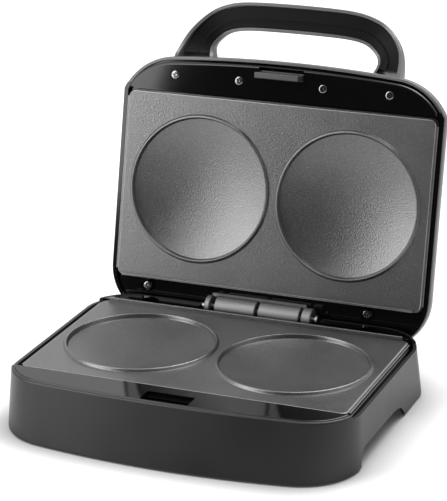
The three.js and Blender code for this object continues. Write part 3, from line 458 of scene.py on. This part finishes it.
tin = material("aluminised_sheet", grey(0.55), 0.35, metal=1.0, grain=500, bump=0.1)


# Pieces: points closer than the weld become one, and edges stay sharp from the given angle

WELD = 2e-6
SHARP_PIECE = 32
SHARP_NODE = 38


def dress(mesh, mat, angle):
    mesh.materials.clear()
    mesh.materials.append(mat)
    for polygon in mesh.polygons:
        polygon.use_smooth = True
        polygon.material_index = 0
    mesh.set_sharp_from_angle(angle=math.radians(angle))


def piece(name, mesh, place, body, mat, node, bevel=0.0):
    mesh.transform(place)
    work = bmesh.new()
    work.from_mesh(mesh)
    bmesh.ops.remove_doubles(work, verts=work.verts, dist=WELD)
    work.to_mesh(mesh)
    work.free()
    mesh.name = name
    dress(mesh, mat, SHARP_PIECE)
    obj = place_object(name, mesh)
    if bevel:
        soft = obj.modifiers.new("soft_edges", "BEVEL")
        soft.width = bevel / 1000
        soft.segments = 2
        soft.limit_method = "ANGLE"
        soft.angle_limit = math.radians(40)
        soft.miter_outer = "MITER_ARC"
    weights = obj.modifiers.new("even_normals", "WEIGHTED_NORMAL")
    weights.keep_sharp = True
    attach(obj, body)
    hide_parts(node)
    return obj


# Cooking plates

# Rear lip in a side view: places behind the plate's rear edge, and heights
LIP = [(-2, -3), (0, -3), (0, 2.4), (-0.3, 2.95), (-0.8, 3.2), (-1.4, 3.2), (-1.8, 2.9), (-2, 2.3)]
# Border strip in a front view: places outside the plate's side edge, and heights
BORDER = [(-1.4, -2.4), (1.3, -2.4), (1.6, -2.1), (1.6, -1.35), (1.5, -1.1), (1.25, -0.95),
          (1, -0.9), (-1.4, -0.9)]
# Outside of the bead round a dish, from its foot to its crest: shares of its width, and heights
BEAD = [(1, -1.44), (1, 0), (0.86, 0.264), (0.72, 0.792), (0.58, 1.364), (0.42, 1.848),
        (0.26, 2.09), (0, BEAD_TOP)]
# Inside of the bead, from the bowl up: places outside the bowl's radius, and heights
BEAD_INSIDE = [(0.15, -0.75), (0.3, -0.2), (0.5, 0.6), (0.7, 1.3), (0.9, 1.8), (1.15, 2.1),
               (1.4, BEAD_TOP), (1.4, 6)]


def cooking_plate():
    edge = rounded(PLATE_EDGE)
    panel = loft([plate_ring(0)] + [plate_ring(i) for i, _ in edge],
                 [PLATE_UNDER] + [h - PLATE_EDGE for _, h in edge])
    skirt = prism(plate_ring(0), SKIRT_BOTTOM, PLATE_UNDER / 2)
    flange = loft([plate_ring(-0.7), plate_ring(-FLANGE), plate_ring(-FLANGE), plate_ring(-0.5)],
                  [SKIRT_BOTTOM, SKIRT_BOTTOM + 0.3, SKIRT_BOTTOM + 0.9, SKIRT_BOTTOM + 1.2])
    inside = prism(plate_ring(SKIRT_WALL), SKIRT_BOTTOM - OVER, PLATE_UNDER)
    lip = side_prism([(PLATE_HALF_DEPTH + y, z) for y, z in LIP],
                     -PLATE_HALF + PLATE_CORNER, PLATE_HALF - PLATE_CORNER)
    plate = join(cut(join(panel, skirt, flange), inside), lip)
    for side in (-1, 1):
        strip = prism([(side * (PLATE_HALF + x), z) for x, z in BORDER][::side],
                      -BORDER_HALF_DEPTH, BORDER_HALF_DEPTH)
        strip.transform(Matrix.Rotation(math.pi / 2, 4, "X"))
        plate = join(plate, strip)
    boss = [(0, -9.5), (45, -9.5), (49, -1.5)]
    boss += [(BEAD_FOOT + BEAD_WIDTH * share, z) for share, z in BEAD] + [(0, BEAD_TOP)]
    bowl = [(BOWL_RADIUS * i / BOWL_STEPS, BOWL_FLOOR + BOWL_RISE * (i / BOWL_STEPS) ** 2)
            for i in range(BOWL_STEPS + 1)]
    bowl += [(BOWL_RADIUS + out, z) for out, z in BEAD_INSIDE] + [(0, BEAD_INSIDE[-1][1])]
    for side in (-1, 1):
        plate = join(plate, turned(boss, side * DISH_X, DISH_Y, DISH_STEPS))
        plate = cut(plate, turned(bowl, side * DISH_X, DISH_Y, DISH_STEPS))
    return plate


# The slanting faces on the panel's edges and on its lip get a lighter colour, a painted highlight
# along the edges
HIGHLIGHT_BAND = 1.2
HIGHLIGHT_SLANT = (0.25, 0.95)
HIGHLIGHT_HEIGHTS = (-1.4, 3.3)


def paint_edge_highlights(obj, place):
    back = place.inverted()
    turn = back.to_3x3()
    obj.data.materials.append(edge_painted_highlight)
    for polygon in obj.data.polygons:
        centre = back @ polygon.center
        up = (turn @ polygon.normal).normalized().z
        near = abs(centre.x) > PLATE_HALF - HIGHLIGHT_BAND or abs(centre.y) > PLATE_HALF_DEPTH - HIGHLIGHT_BAND
        slanting = HIGHLIGHT_SLANT[0] < up < HIGHLIGHT_SLANT[1]
        if near and slanting and HIGHLIGHT_HEIGHTS[0] < centre.z < HIGHLIGHT_HEIGHTS[1]:
            polygon.material_index = 1


# Both plates carry the painted edge highlight on their slanting edge faces
plate = cooking_plate()
paint_edge_highlights(piece("lower_cooking_plate", plate.copy(), BASE, "base", nonstick,
                "lower_plate"), BASE)
paint_edge_highlights(piece("upper_cooking_plate", plate, UPPER, "lid", nonstick,
                "upper_plate"), UPPER)


# Base housing

# Arch in each side wall in a side view: under the table to the rear, then back over its top
ARCH = [(-64, -46), (38, -46), (34, -40.8), (30, -36.7), (27, -34), (23.5, -31.8), (17, -30),
        (8.5, -28.9), (-10, -28.5), (-40, -28.3), (-55.5, -28.2), (-60, -29.6), (-62.8, -32.6),
        (-63.8, -36)]


def base_housing():
    edge = 1.4
    top = FRONT_DECK - GAP_FIT
    below, above = BASE_BOTTOM - OVER, top + OVER
    side_top = -2.2
    foot = [(0.8, BASE_BOTTOM), (0.25, BASE_BOTTOM + 0.25), (0, BASE_BOTTOM + 1.2)]
    levels = foot + [(i, top - edge + h) for i, h in rounded(edge)]
    outer = loft([base_plan(z, i) for i, z in levels], [z for _, z in levels])
    inner = loft([base_plan(below, WALL), base_plan(above, WALL)], [below, above])
    beside_plate = slab(-WELL_FRONT - 0.35, WELL_REAR - 0.15, side_top, above)
    notch_half = POCKET_HALF + GAP_FIT
    notch = block(-notch_half, notch_half, BASE_REAR - 5, BASE_REAR + 5,
                  POCKET_FLOOR - DECK - GAP_FIT, above)
    gland = rod(CORD_HOLE, 0, 0, -6, 6)
    gland.transform(Matrix.Translation((CORD_X, BASE_REAR - WALL / 2, TABLE + CORD_HEIGHT))
                    @ Matrix.Rotation(math.pi / 2, 4, "X"))
    return cut(outer, inner, beside_plate, side_prism(ARCH, -WIDE, WIDE), notch, gland)


piece("base_housing_shell", base_housing(), BASE, "base", charcoal, "base_housing")


# Base frame: the gloss ledge and decks round the lower plate

def base_frame():
    edge = rounded(1.0)
    # Heights clear of the decks, for the solids that cut them
    below, above = -12, 4
    body = loft([base_plan(LEDGE_BOTTOM, FRAME_INSET + GAP_FIT)]
                + [base_plan(0, FRAME_INSET + i) for i, _ in edge],
                [LEDGE_BOTTOM] + [FRONT_DECK - 1 + h for _, h in edge])
    well = slab(-WELL_FRONT, WELL_REAR, LEDGE_TOP, above)
    rear_cut = slab(WELL_REAR - OVER, BASE_REAR, REAR_DECK, above)
    opening = prism(plate_ring(FRAME_OPENING), LEDGE_BOTTOM - OVER, above)
    under = base_plan(0, FRAME_INSET + DECK)
    front_room = meet(prism(under, below, FRONT_DECK - DECK),
                      slab(-WIDE, -WELL_FRONT - DECK, below, FRONT_DECK))
    rear_room = meet(prism(under, below, REAR_DECK - DECK),
                     slab(WELL_REAR + DECK, WIDE, below, REAR_DECK))
    shape = cut(body, well, rear_cut, opening, front_room, rear_room)
    within = prism(base_plan(0, FRAME_INSET + THIN), TABLE, FRONT_DECK)
    shape = latch_well(shape, within, above)
    shape = hinge_pocket(shape, above)
    return screw_recesses(shape, within, below, above)


def latch_well(shape, within, above):
    front, back = LATCH_Y - 4.4, LATCH_Y + LATCH_DEPTH + 6.5
    floor = FRONT_DECK - WELL_DEPTH
    catch_bottom, catch_top = -3.3, -1.1
    walls = meet(within, block(-SLOT_HALF - DECK, SLOT_HALF + DECK, front - OVER, back + DECK,
                               floor - DECK, FRONT_DECK - GAP_FIT))
    hollow = block(-SLOT_HALF, SLOT_HALF, front, back, floor, above)
    catch = block(-SLOT_HALF - GAP_FIT, SLOT_HALF + GAP_FIT, LATCH_Y + 4.8, back + GAP_FIT,
                  catch_bottom, catch_top)
    return join(cut(join(shape, walls), hollow), catch)


def hinge_pocket(shape, above):
    wall = 2
    walls = block(-POCKET_HALF, POCKET_HALF, WELL_REAR, BASE_REAR, POCKET_FLOOR - DECK, REAR_DECK)
    hollow = block(-POCKET_HALF + wall, POCKET_HALF - wall, WELL_REAR + wall, WIDE, POCKET_FLOOR,
                   above)
    return cut(join(shape, walls), hollow)


def screw_recesses(shape, within, below, above):
    behind = slab(WELL_REAR + THIN, BASE_REAR, TABLE, FRONT_DECK)
    for side in (-1, 1):
        x, y = side * RECESS_X, RECESS_Y
        tube = rod(RECESS_TUBE, x, y, REAR_DECK - RECESS_DEPTH - DECK, REAR_DECK - GAP_FIT)
        shape = join(shape, meet(tube, within, behind))
        mouth = meet(rod(RECESS_MOUTH, x, y, REAR_DECK - RECESS_DEPTH, above),
                     slab(WELL_REAR + 1.4, BASE_REAR - 4.1, TABLE, above + OVER))
        shape = cut(shape, mouth, rod(SHANK, x, y, below, REAR_DECK))
        for post_x, post_y, top in ((side * POST_FRONT_X, -WELL_FRONT - 6.1, FRONT_DECK),
                                    (side * POST_REAR_X, y, REAR_DECK)):
            shape = join(shape, rod(POST, post_x, post_y, POST_FOOT, top - THIN))
    return shape


piece("base_gloss_frame", base_frame(), BASE, "base", gloss, "base_frame")


# Lid shell with its handle, and the handle's liner

# Round of the lid from its rim to its top, as shares of its depth and of its lean
LID_ROUND = [(0, 0), (0.14, 0), (0.28, 0.02), (0.45, 0.085), (0.64, 0.21), (0.79, 0.4),
             (0.9, 0.63), (0.97, 0.84), (1, 1)]
# Front edges of the handle's band from inside the lid to the middle of the grip: outer edge, then
# the hand opening's edge, each as shares of the half width, the reach and the rise
OUTER = [(1, -0.54, 0), (1, -0.14, 0), (0.999, 0, 0.04), (0.99, 0.124, 0.24), (0.976, 0.248, 0.45),
         (0.944, 0.418, 0.69), (0.881, 0.598, 0.88), (0.791, 0.767, 1), (0.689, 0.876, 1),
         (0.542, 0.957, 0.95), (0.339, 0.989, 0.92), (0, 1, 0.9)]
INNER = [(0.7, -0.54, 0.69), (0.712, -0.14, 0.69), (0.718, 0, 0.77), (0.729, 0.068, 0.86),
         (0.734, 0.147, 0.94), (0.718, 0.237, 1.03), (0.678, 0.327, 1.07), (0.627, 0.406, 1.07),
         (0.554, 0.46, 1.07), (0.441, 0.492, 1.05), (0.271, 0.506, 1.03), (0, 0.51, 1.03)]
# Round of the band's section, from its inner front edge over the back to its outer front edge,
# in shares across the band and of its depth
SECTION = [(0.99, 0), (1, 0.06), (1, 0.4), (1, 0.65), (0.985, 0.8), (0.94, 0.91), (0.86, 0.975),
           (0.74, 1), (0.6, 1), (0.46, 1), (0.36, 0.985), (0.26, 0.95), (0.17, 0.88), (0.1, 0.78),
           (0.055, 0.66), (0.025, 0.52), (0.008, 0.38), (0, 0.25), (0, 0.14), (0, 0.03), (0.01, 0)]
# Face of the liner with its two rails, in the same shares
LINER = [(0.54, 0.2), (0.57, 0.17), (0.585, 0.08), (0.6, 0.05), (0.64, 0.05), (0.66, 0.08),
         (0.8, 0.08), (0.82, 0.05), (0.86, 0.05), (0.875, 0.08), (0.89, 0.17)]


# Smooth curve through the points, in the given count of steps
def spline(points, count):
    result = []
    last = len(points) - 1
    for i in range(count + 1):
        place = last * i / count
        span = min(int(place), last - 1)
        t = place - span
        near = [points[max(span - 1, 0)], points[span], points[span + 1],
                points[min(span + 2, last)]]
        result.append(tuple(0.5 * (2 * b + (c - a) * t + (2 * a - 5 * b + 4 * c - d) * t * t
                                   + (3 * b - a - 3 * c + d) * t ** 3)
                            for a, b, c, d in zip(*near)))
    return result


# Solid of the lid, outside with no wall given, or its hollow at that wall
def pillow(wall=0):
    levels = [(wall, LID_RIM - OVER)]
    clear = LID_RIM
    if not wall:
        levels = [(1.0, LID_RIM), (0.6, LID_RIM + 0.15), (0.2, LID_RIM + 0.7)]
        clear = LID_RIM + 1.6
    for rise, lean in spline(LID_ROUND, 24)[1:]:
        height = LID_RIM + rise * (LID_DEPTH - wall)
        if height > clear:
            levels.append((wall + max(lean, 0) * LID_LEAN, height))
    return loft([lid_plan(inset) for inset, _ in levels], [height for _, height in levels])


def band_edge(shares):
    right = [(x * HANDLE_HALF, HANDLE_ROOT - out * HANDLE_REACH, HANDLE_FACE + up * HANDLE_RISE)
             for x, out, up in shares]
    left = [(-x, y, z) for x, y, z in right]
    return spline(left[:-1] + right[::-1], 90)


# The band swept along its two front edges, its section drawn in shares across and deep
def band(section_at):
    verts = []
    for outer, inner in zip(band_edge(OUTER), band_edge(INNER)):
        section = section_at(math.hypot(inner[0] - outer[0], inner[1] - outer[1]))
        for across, deep, lift in section:
            x, y, z = (a + (b - a) * across for a, b in zip(outer, inner))
            verts.append((x, y, z + (HANDLE_BACK - z) * deep - lift))
    return skin(verts, len(section))


# The handle is hollow along its face, between two rims with rounded inner edges
def handle_section(width):
    rim, round_off = HANDLE_RIM / width, 0.5 / width
    line = [(u, v, 0) for u, v in SECTION]
    for u, way in ((rim, -1), (1 - rim, 1)):
        edge = [(u + way * round_off, 0, 0), (u + way * round_off * 0.3, 0.02, 0), (u, 0.07, 0),
                (u, 0.5, 0)]
        line += edge if way < 0 else edge[::-1]
    return line


# The liner fills that channel, a gap inside the rims and over its floor
def liner_section(width):
    side = (HANDLE_RIM + 2 * GAP_FIT) / width
    face = [(side, 0.2), *LINER, (1 - side, 0.2)]
    return [(u, v, 0) for u, v in face] + [(1 - side, 0.5, GAP_FIT), (side, 0.5, GAP_FIT)]


def lid_shell():
    shell = cut(join(pillow(), band(handle_section)), pillow(WALL))
    lamp_holes = [rod(LAMP_HOLE, x, LAMP_Y, 40, 52) for x in (-LAMP_X, LAMP_X)]
    return cut(shell, *lamp_holes)


def handle_liner():
    return meet(band(liner_section), slab(-170, -LID_FRONT - GAP_FIT, HANDLE_FACE, 60))


piece("lid_shell_and_handle", lid_shell(), LID, "lid", silver, "lid_shell")
piece("handle_channel_liner", handle_liner(), LID, "lid", satin_black, "handle_liner")


# Lid frame: the gloss ledge and decks round the upper plate

def lid_frame():
    # A height clear of the ledge, for the solids that cut it
    above = 20
    ledge_low = GAP - LEDGE_TOP
    ledge_high = ledge_low + DECK
    ledge = prism(lid_plan(FRAME_INSET), ledge_low, ledge_high)
    edge = rounded(DECK_EDGE)[::-1]
    deck = loft([deck_plan(i) for i, _ in edge] + [deck_plan()],
                [LID_DECK + DECK_EDGE - h for _, h in edge] + [ledge_high])
    deck = meet(deck, slab(-LID_FRONT, -WELL_FRONT, LID_DECK - 1, ledge_high))
    rear = meet(prism(lid_plan(FRAME_INSET), LID_REAR_DECK, ledge_high),
                slab(WELL_REAR, LID_REAR, LID_REAR_DECK, ledge_high))
    opening = prism(plate_ring(FRAME_OPENING), LID_DECK - OVER, ledge_high + OVER)
    front_room = meet(prism(deck_plan(DECK), LID_DECK + DECK, above),
                      slab(-WIDE, -WELL_FRONT - DECK, LID_DECK, above))
    rear_room = meet(prism(lid_plan(FRAME_INSET + DECK), LID_REAR_DECK + DECK, above),
                     slab(WELL_REAR + DECK, WIDE, LID_REAR_DECK, above))
    spring_room = block(-SPRING_ROOM, SPRING_ROOM, -LID_FRONT, -WELL_FRONT - DECK,
                        LID_DECK + DECK, above)
    shape = cut(join(ledge, deck, rear, side_rim(ledge_low, ledge_high)), opening, front_room,
                rear_room, spring_room)
    shape = join(shape, spring_wall(ledge_high, above))
    shape = cut(shape, block(-SLOT_HALF, SLOT_HALF, LATCH_Y - 3.6, LATCH_Y + LATCH_DEPTH + 1.6,
                             LID_DECK - OVER, LID_DECK + DECK + OVER))
    return screw_seats(shape, ledge_high)


# Rim of the ledge against the lid shell, along the sides and the rear
def side_rim(ledge_low, ledge_high):
    rim = LID_RIM - GAP_FIT
    outside = loft([lid_plan(0.9), lid_plan(0.6), lid_plan(0.6)], [rim - 1.2, rim - 0.9, rim])
    walls = prism(lid_plan(FRAME_INSET), rim - 1.2, ledge_low + THIN)
    hollow = prism(lid_plan(FRAME_INSET + THIN), rim - 3, ledge_low)
    return meet(cut(join(outside, walls), hollow), slab(-76, LID_REAR, GAP, ledge_high))


# Thin wall before the leaf spring
def spring_wall(ledge_high, above):
    half = SPRING_ROOM + 0.6
    wall = cut(prism(deck_plan(-0.7), LID_DECK + DECK - 0.4, ledge_high),
               prism(deck_plan(-0.15), 0, 30))
    return meet(wall, block(-half, half, -LID_FRONT, -90, LID_DECK, above))


def screw_seats(shape, ledge_high):
    collar = [(0, LID_REAR_DECK - 3), (4.2, LID_REAR_DECK - 3), (4.7, LID_REAR_DECK - 2.6),
              (4.7, ledge_high), (0, ledge_high)]
    for side in (-1, 1):
        for at in DECK_SCREWS_X:
            x, y = side * at, DECK_SCREW_Y
            shape = join(shape, rod(5.6, x, y, LID_DECK + 0.5, ledge_high))
            shape = cut(shape, rod(SCREW_SEAT, x, y, LID_DECK - OVER,
                                   LID_DECK + DECK_SCREW_SEAT + GAP_FIT))
        x, y = side * BOSS_X + BOSS_SHIFT, BOSS_Y
        shape = join(shape, turned(collar, x, y))
        shape = cut(shape, rod(SCREW_SEAT, x, y, LID_REAR_DECK - 5, LID_REAR_DECK + GAP_FIT))
    return shape


piece("lid_gloss_frame", lid_frame(), LID, "lid", gloss, "lid_frame")


# Hinge leaves with rolled barrels, and their pin

# The leaf lies over the barrels where way is 1 and under them where it is -1
def hinge_leaf(barrels, way):
    edge = HINGE_Z + way * (LID_REAR_DECK - GAP_FIT - DECK - HINGE_Z)
    low, high = (edge, edge + DECK) if way > 0 else (edge - DECK, edge)
    first = min(start for start, _ in barrels)
    last = max(end for _, end in barrels)
    rear = HINGE_Y + LEAF_REACH if way > 0 else BASE_REAR - WALL
    leaf = block(first, last, HINGE_Y - LEAF_REACH, rear, low, high)
    neck = 6.6
    z0, z1 = sorted((HINGE_Z, edge + way * THIN))
    for x0, x1 in barrels:
        leaf = join(leaf, along_x(BARREL, x0, x1, 64, 0.6),
                    block(x0 + GAP_FIT, x1 - GAP_FIT, HINGE_Y - neck, HINGE_Y + neck, z0, z1))
    return cut(leaf, along_x(PIN + GAP_FIT, first - OVER, last + OVER, 32))


def hinge_pin():
    return join(along_x(PIN, -46, 45, 32, 0.5), along_x(4, 44, 46, 32, 0.4))


piece("base_hinge_barrels", hinge_leaf([(-34, -1.8), (34.8, 42)], -1), BASE, "base", steel,
      "base_hinge_leaf")
piece("lid_hinge_barrels", hinge_leaf([(-42, -38), (0.8, 33)], 1), LID, "lid", steel,
      "lid_hinge_leaf")
piece("hinge_pin_rod", hinge_pin(), BASE, "base", zinc, "hinge_pin")


# Screws with crossed heads, flat on top with a rounded edge

def crossed_screw():
    head = turned([(0, -8), (1.4, -8), (1.6, -7.6), (1.6, 0), (3.2, 0), (3.4, 0.2), (3.4, 0.9),
                   (3.25, 1.3), (3.0, 1.58), (2.6, 1.74), (2.2, 1.79), (0, 1.8)], steps=40)
    arms = [block(-1.8, 1.8, -0.42, 0.42, 0.8, 4), block(-0.42, 0.42, -1.8, 1.8, 0.8, 4),
            turned([(0, 0.5), (0.7, 0.8), (1.0, 4), (0, 4)], steps=16)]
    return cut(head, *arms)


def show_screw(node, at, head_down, place, body, spin):
    mesh = crossed_screw()
    mesh.transform(Matrix.Translation(at) @ Matrix.Rotation(math.pi if head_down else 0, 4, "X")
                   @ Matrix.Rotation(math.radians(spin), 4, "Z"))
    piece(node.replace("screw", "phillips"), mesh, place, body, bright_screw, node)


for side, word, spin in ((-1, "left", 18), (1, "right", 52)):
    for number, screw_x in enumerate(DECK_SCREWS_X, 1):
        show_screw(f"deck_screw_{word}_{number}",
                   (side * screw_x, DECK_SCREW_Y, LID_DECK + DECK_SCREW_SEAT), True, LID, "lid",
                   spin + 31 * number)
    show_screw(f"boss_screw_{word}", (side * BOSS_X + BOSS_SHIFT, BOSS_Y, LID_REAR_DECK), True,
               LID, "lid", spin)
    show_screw(f"recess_screw_{word}", (side * RECESS_X, RECESS_Y, REAR_DECK - RECESS_DEPTH),
               False, BASE, "base", spin)


# Latch tongue, and the leaf spring before it, drawn bowed as at rest; the real spring is pressed
# flat as the tongue moves

def latch_tongue():
    tip, middle = LID_DECK - LATCH_DROP, LATCH_Y + LATCH_DEPTH / 2
    bar = block(-LATCH_HALF, LATCH_HALF, LATCH_Y, LATCH_Y + LATCH_DEPTH, tip, LID_DECK + 12)
    flange = block(-LATCH_HALF - 2, LATCH_HALF + 2, LATCH_Y - 1, LATCH_Y + LATCH_DEPTH + 2,
                   LID_DECK + 2.5, LID_DECK + 4.5)
    nose = side_prism([(middle, tip), (LATCH_Y + 3.9, tip), (LATCH_Y + 4.5, tip + 1.6),
                       (middle, tip + 3.2)], -LATCH_HALF, LATCH_HALF)
    return join(bar, flange, nose)


def bowed_leaf():
    shares = [i / 12 for i in range(-12, 13)]
    front = [(SPRING_HALF * s, SPRING_CREST - SPRING_BOW * s * s) for s in shares]
    back = [(x, y + SPRING_SHEET) for x, y in reversed(front)]
    return prism(front + back, LID_DECK + 4.8, LID_DECK + 10.8)


piece("latch_tongue_bar", latch_tongue(), LID, "latch", dark_steel, "latch_tongue",
      bevel=0.35)
leaf_spring = piece("latch_leaf_spring", bowed_leaf(), LID, "lid", matt_black,
                    "latch_spring")
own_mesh(leaf_spring)

# The remaining nodes keep their CAD form, and the first word found in the name gives the look
LOOKS = {"foot": rubber, "cover_screw": zinc, "hinge_screw": zinc, "bottom_cover": matt_black,
         "bushing": matt_black, "element": sheath, "reflector": tin, "thermostat": ceramic,
         "terminal": ceramic, "fuse": zinc, "power_lamp": red, "ready_lamp": green}
for name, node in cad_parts.items():
    if not node.hide_render:
        look = next(mat for word, mat in LOOKS.items() if word in name)
        dress(node.data, look, SHARP_NODE)

# Camera, from the fit to the photograph
CAMERA_AT = (567.02, -1401.44, 606.24)
CAMERA_LENS = 164.05
CAMERA_YAW, CAMERA_PITCH, CAMERA_ROLL = (math.radians(a) for a in (-21.845, -19.279, -0.329))

camera_data = bpy.data.cameras.new("camera")
camera_data.sensor_width = 36
camera_data.lens = CAMERA_LENS
camera = place_object("camera", camera_data)
ahead = Vector((math.sin(CAMERA_YAW) * math.cos(CAMERA_PITCH),
                math.cos(CAMERA_YAW) * math.cos(CAMERA_PITCH), math.sin(CAMERA_PITCH)))
right = Vector((math.cos(CAMERA_YAW), -math.sin(CAMERA_YAW), 0))
up = right.cross(ahead)
rolled_right = math.cos(CAMERA_ROLL) * right + math.sin(CAMERA_ROLL) * up
rolled_up = -math.sin(CAMERA_ROLL) * right + math.cos(CAMERA_ROLL) * up
turn = Matrix((rolled_right, rolled_up, -ahead)).transposed().to_4x4()
camera.matrix_world = Matrix.Translation(BASE @ Vector(CAMERA_AT)) @ turn
bpy.context.scene.camera = camera
bpy.context.scene.view_settings.view_transform = "Standard"


# Floor of white paper: a shade lies close to the object, and for the camera alone the paper grows
# lighter away from it
def paper_material():
    paper = bpy.data.materials.new("paper")
    paper.use_nodes = True
    tree = paper.node_tree
    near = add_node(tree, "AmbientOcclusion", {"Color": (*grey(0.88), 1), "Distance": 0.028})
    place = add_node(tree, "TexCoord", {})
    length = add_node(tree, "VectorMath", {0: place.outputs["Object"]}, operation="LENGTH")
    far = add_node(tree, "MapRange", {"Value": length.outputs["Value"], "From Min": 0.15,
                                      "From Max": 1.0, "To Min": 0.03, "To Max": 0.5})
    path = add_node(tree, "LightPath", {})
    lift = add_node(tree, "Math", {0: far.outputs["Result"], 1: path.outputs["Is Camera Ray"]},
                    operation="MULTIPLY")
    fill(tree.nodes["Principled BSDF"], {
        "Base Color": near.outputs["Color"], "Roughness": 0.9, "Specular IOR Level": 0.1,
        "Emission Color": (*grey(1), 1), "Emission Strength": lift.outputs[0]})
    return paper


FLOOR_HALF = 6
floor_mesh = bpy.data.meshes.new("floor")
floor_mesh.from_pydata([(-FLOOR_HALF, -FLOOR_HALF, 0), (FLOOR_HALF, -FLOOR_HALF, 0),
                        (FLOOR_HALF, FLOOR_HALF, 0), (-FLOOR_HALF, FLOOR_HALF, 0)], [],
                       [(0, 1, 2, 3)])
floor_mesh.materials.append(paper_material())
place_object("floor", floor_mesh)


def lamp(name, at, aim, size, watts):
    data = bpy.data.lights.new(name, "AREA")
    data.shape = "RECTANGLE"
    data.size, data.size_y = size
    data.energy = watts
    obj = place_object(name, data)
    obj.location = at
    obj.rotation_mode = "QUATERNION"
    obj.rotation_quaternion = (Vector(aim) - Vector(at)).to_track_quat("-Z", "Y")
    obj.visible_camera = False


lamp("left_softbox", (-0.575, -0.52, 0.58), (0, 0.05, 0.13), (0.55, 1.1), 8)
lamp("top_softbox", (0.32, 0.5, 1.2), (0, 0.1, 0), (0.8, 0.8), 15)


# White surroundings for the camera and for reflections, with the room darker behind the camera,
# and half as strong for all other light
def studio():
    world = bpy.data.worlds.new("studio")
    world.use_nodes = True
    sky = world.node_tree

    def math_node(operation, first, second):
        return add_node(sky, "Math", {0: first, 1: second}, operation=operation).outputs[0]

    rays = add_node(sky, "LightPath", {}).outputs
    direction = add_node(sky, "TexCoord", {})
    split = add_node(sky, "SeparateXYZ", {"Vector": direction.outputs["Generated"]})
    room = add_node(sky, "MapRange", {"Value": split.outputs["Y"], "From Min": -0.9,
                                      "From Max": 0.05, "To Min": 0.04, "To Max": 1.0},
                    interpolation_type="SMOOTHSTEP")
    mirrored_ray = math_node("MAXIMUM", rays["Is Glossy Ray"], rays["Is Transmission Ray"])
    mirrored_part = math_node("MULTIPLY", mirrored_ray, room.outputs["Result"])
    seen = math_node("MAXIMUM", rays["Is Camera Ray"], mirrored_part)
    drawn_ray = math_node("MAXIMUM", rays["Is Camera Ray"], mirrored_ray)
    other_ray = math_node("SUBTRACT", 1.0, drawn_ray)
    strength = math_node("ADD", seen, math_node("MULTIPLY", other_ray, 0.5))
    fill(sky.nodes["Background"], {"Color": (*grey(1), 1), "Strength": strength})
    return world


bpy.context.scene.world = studio()
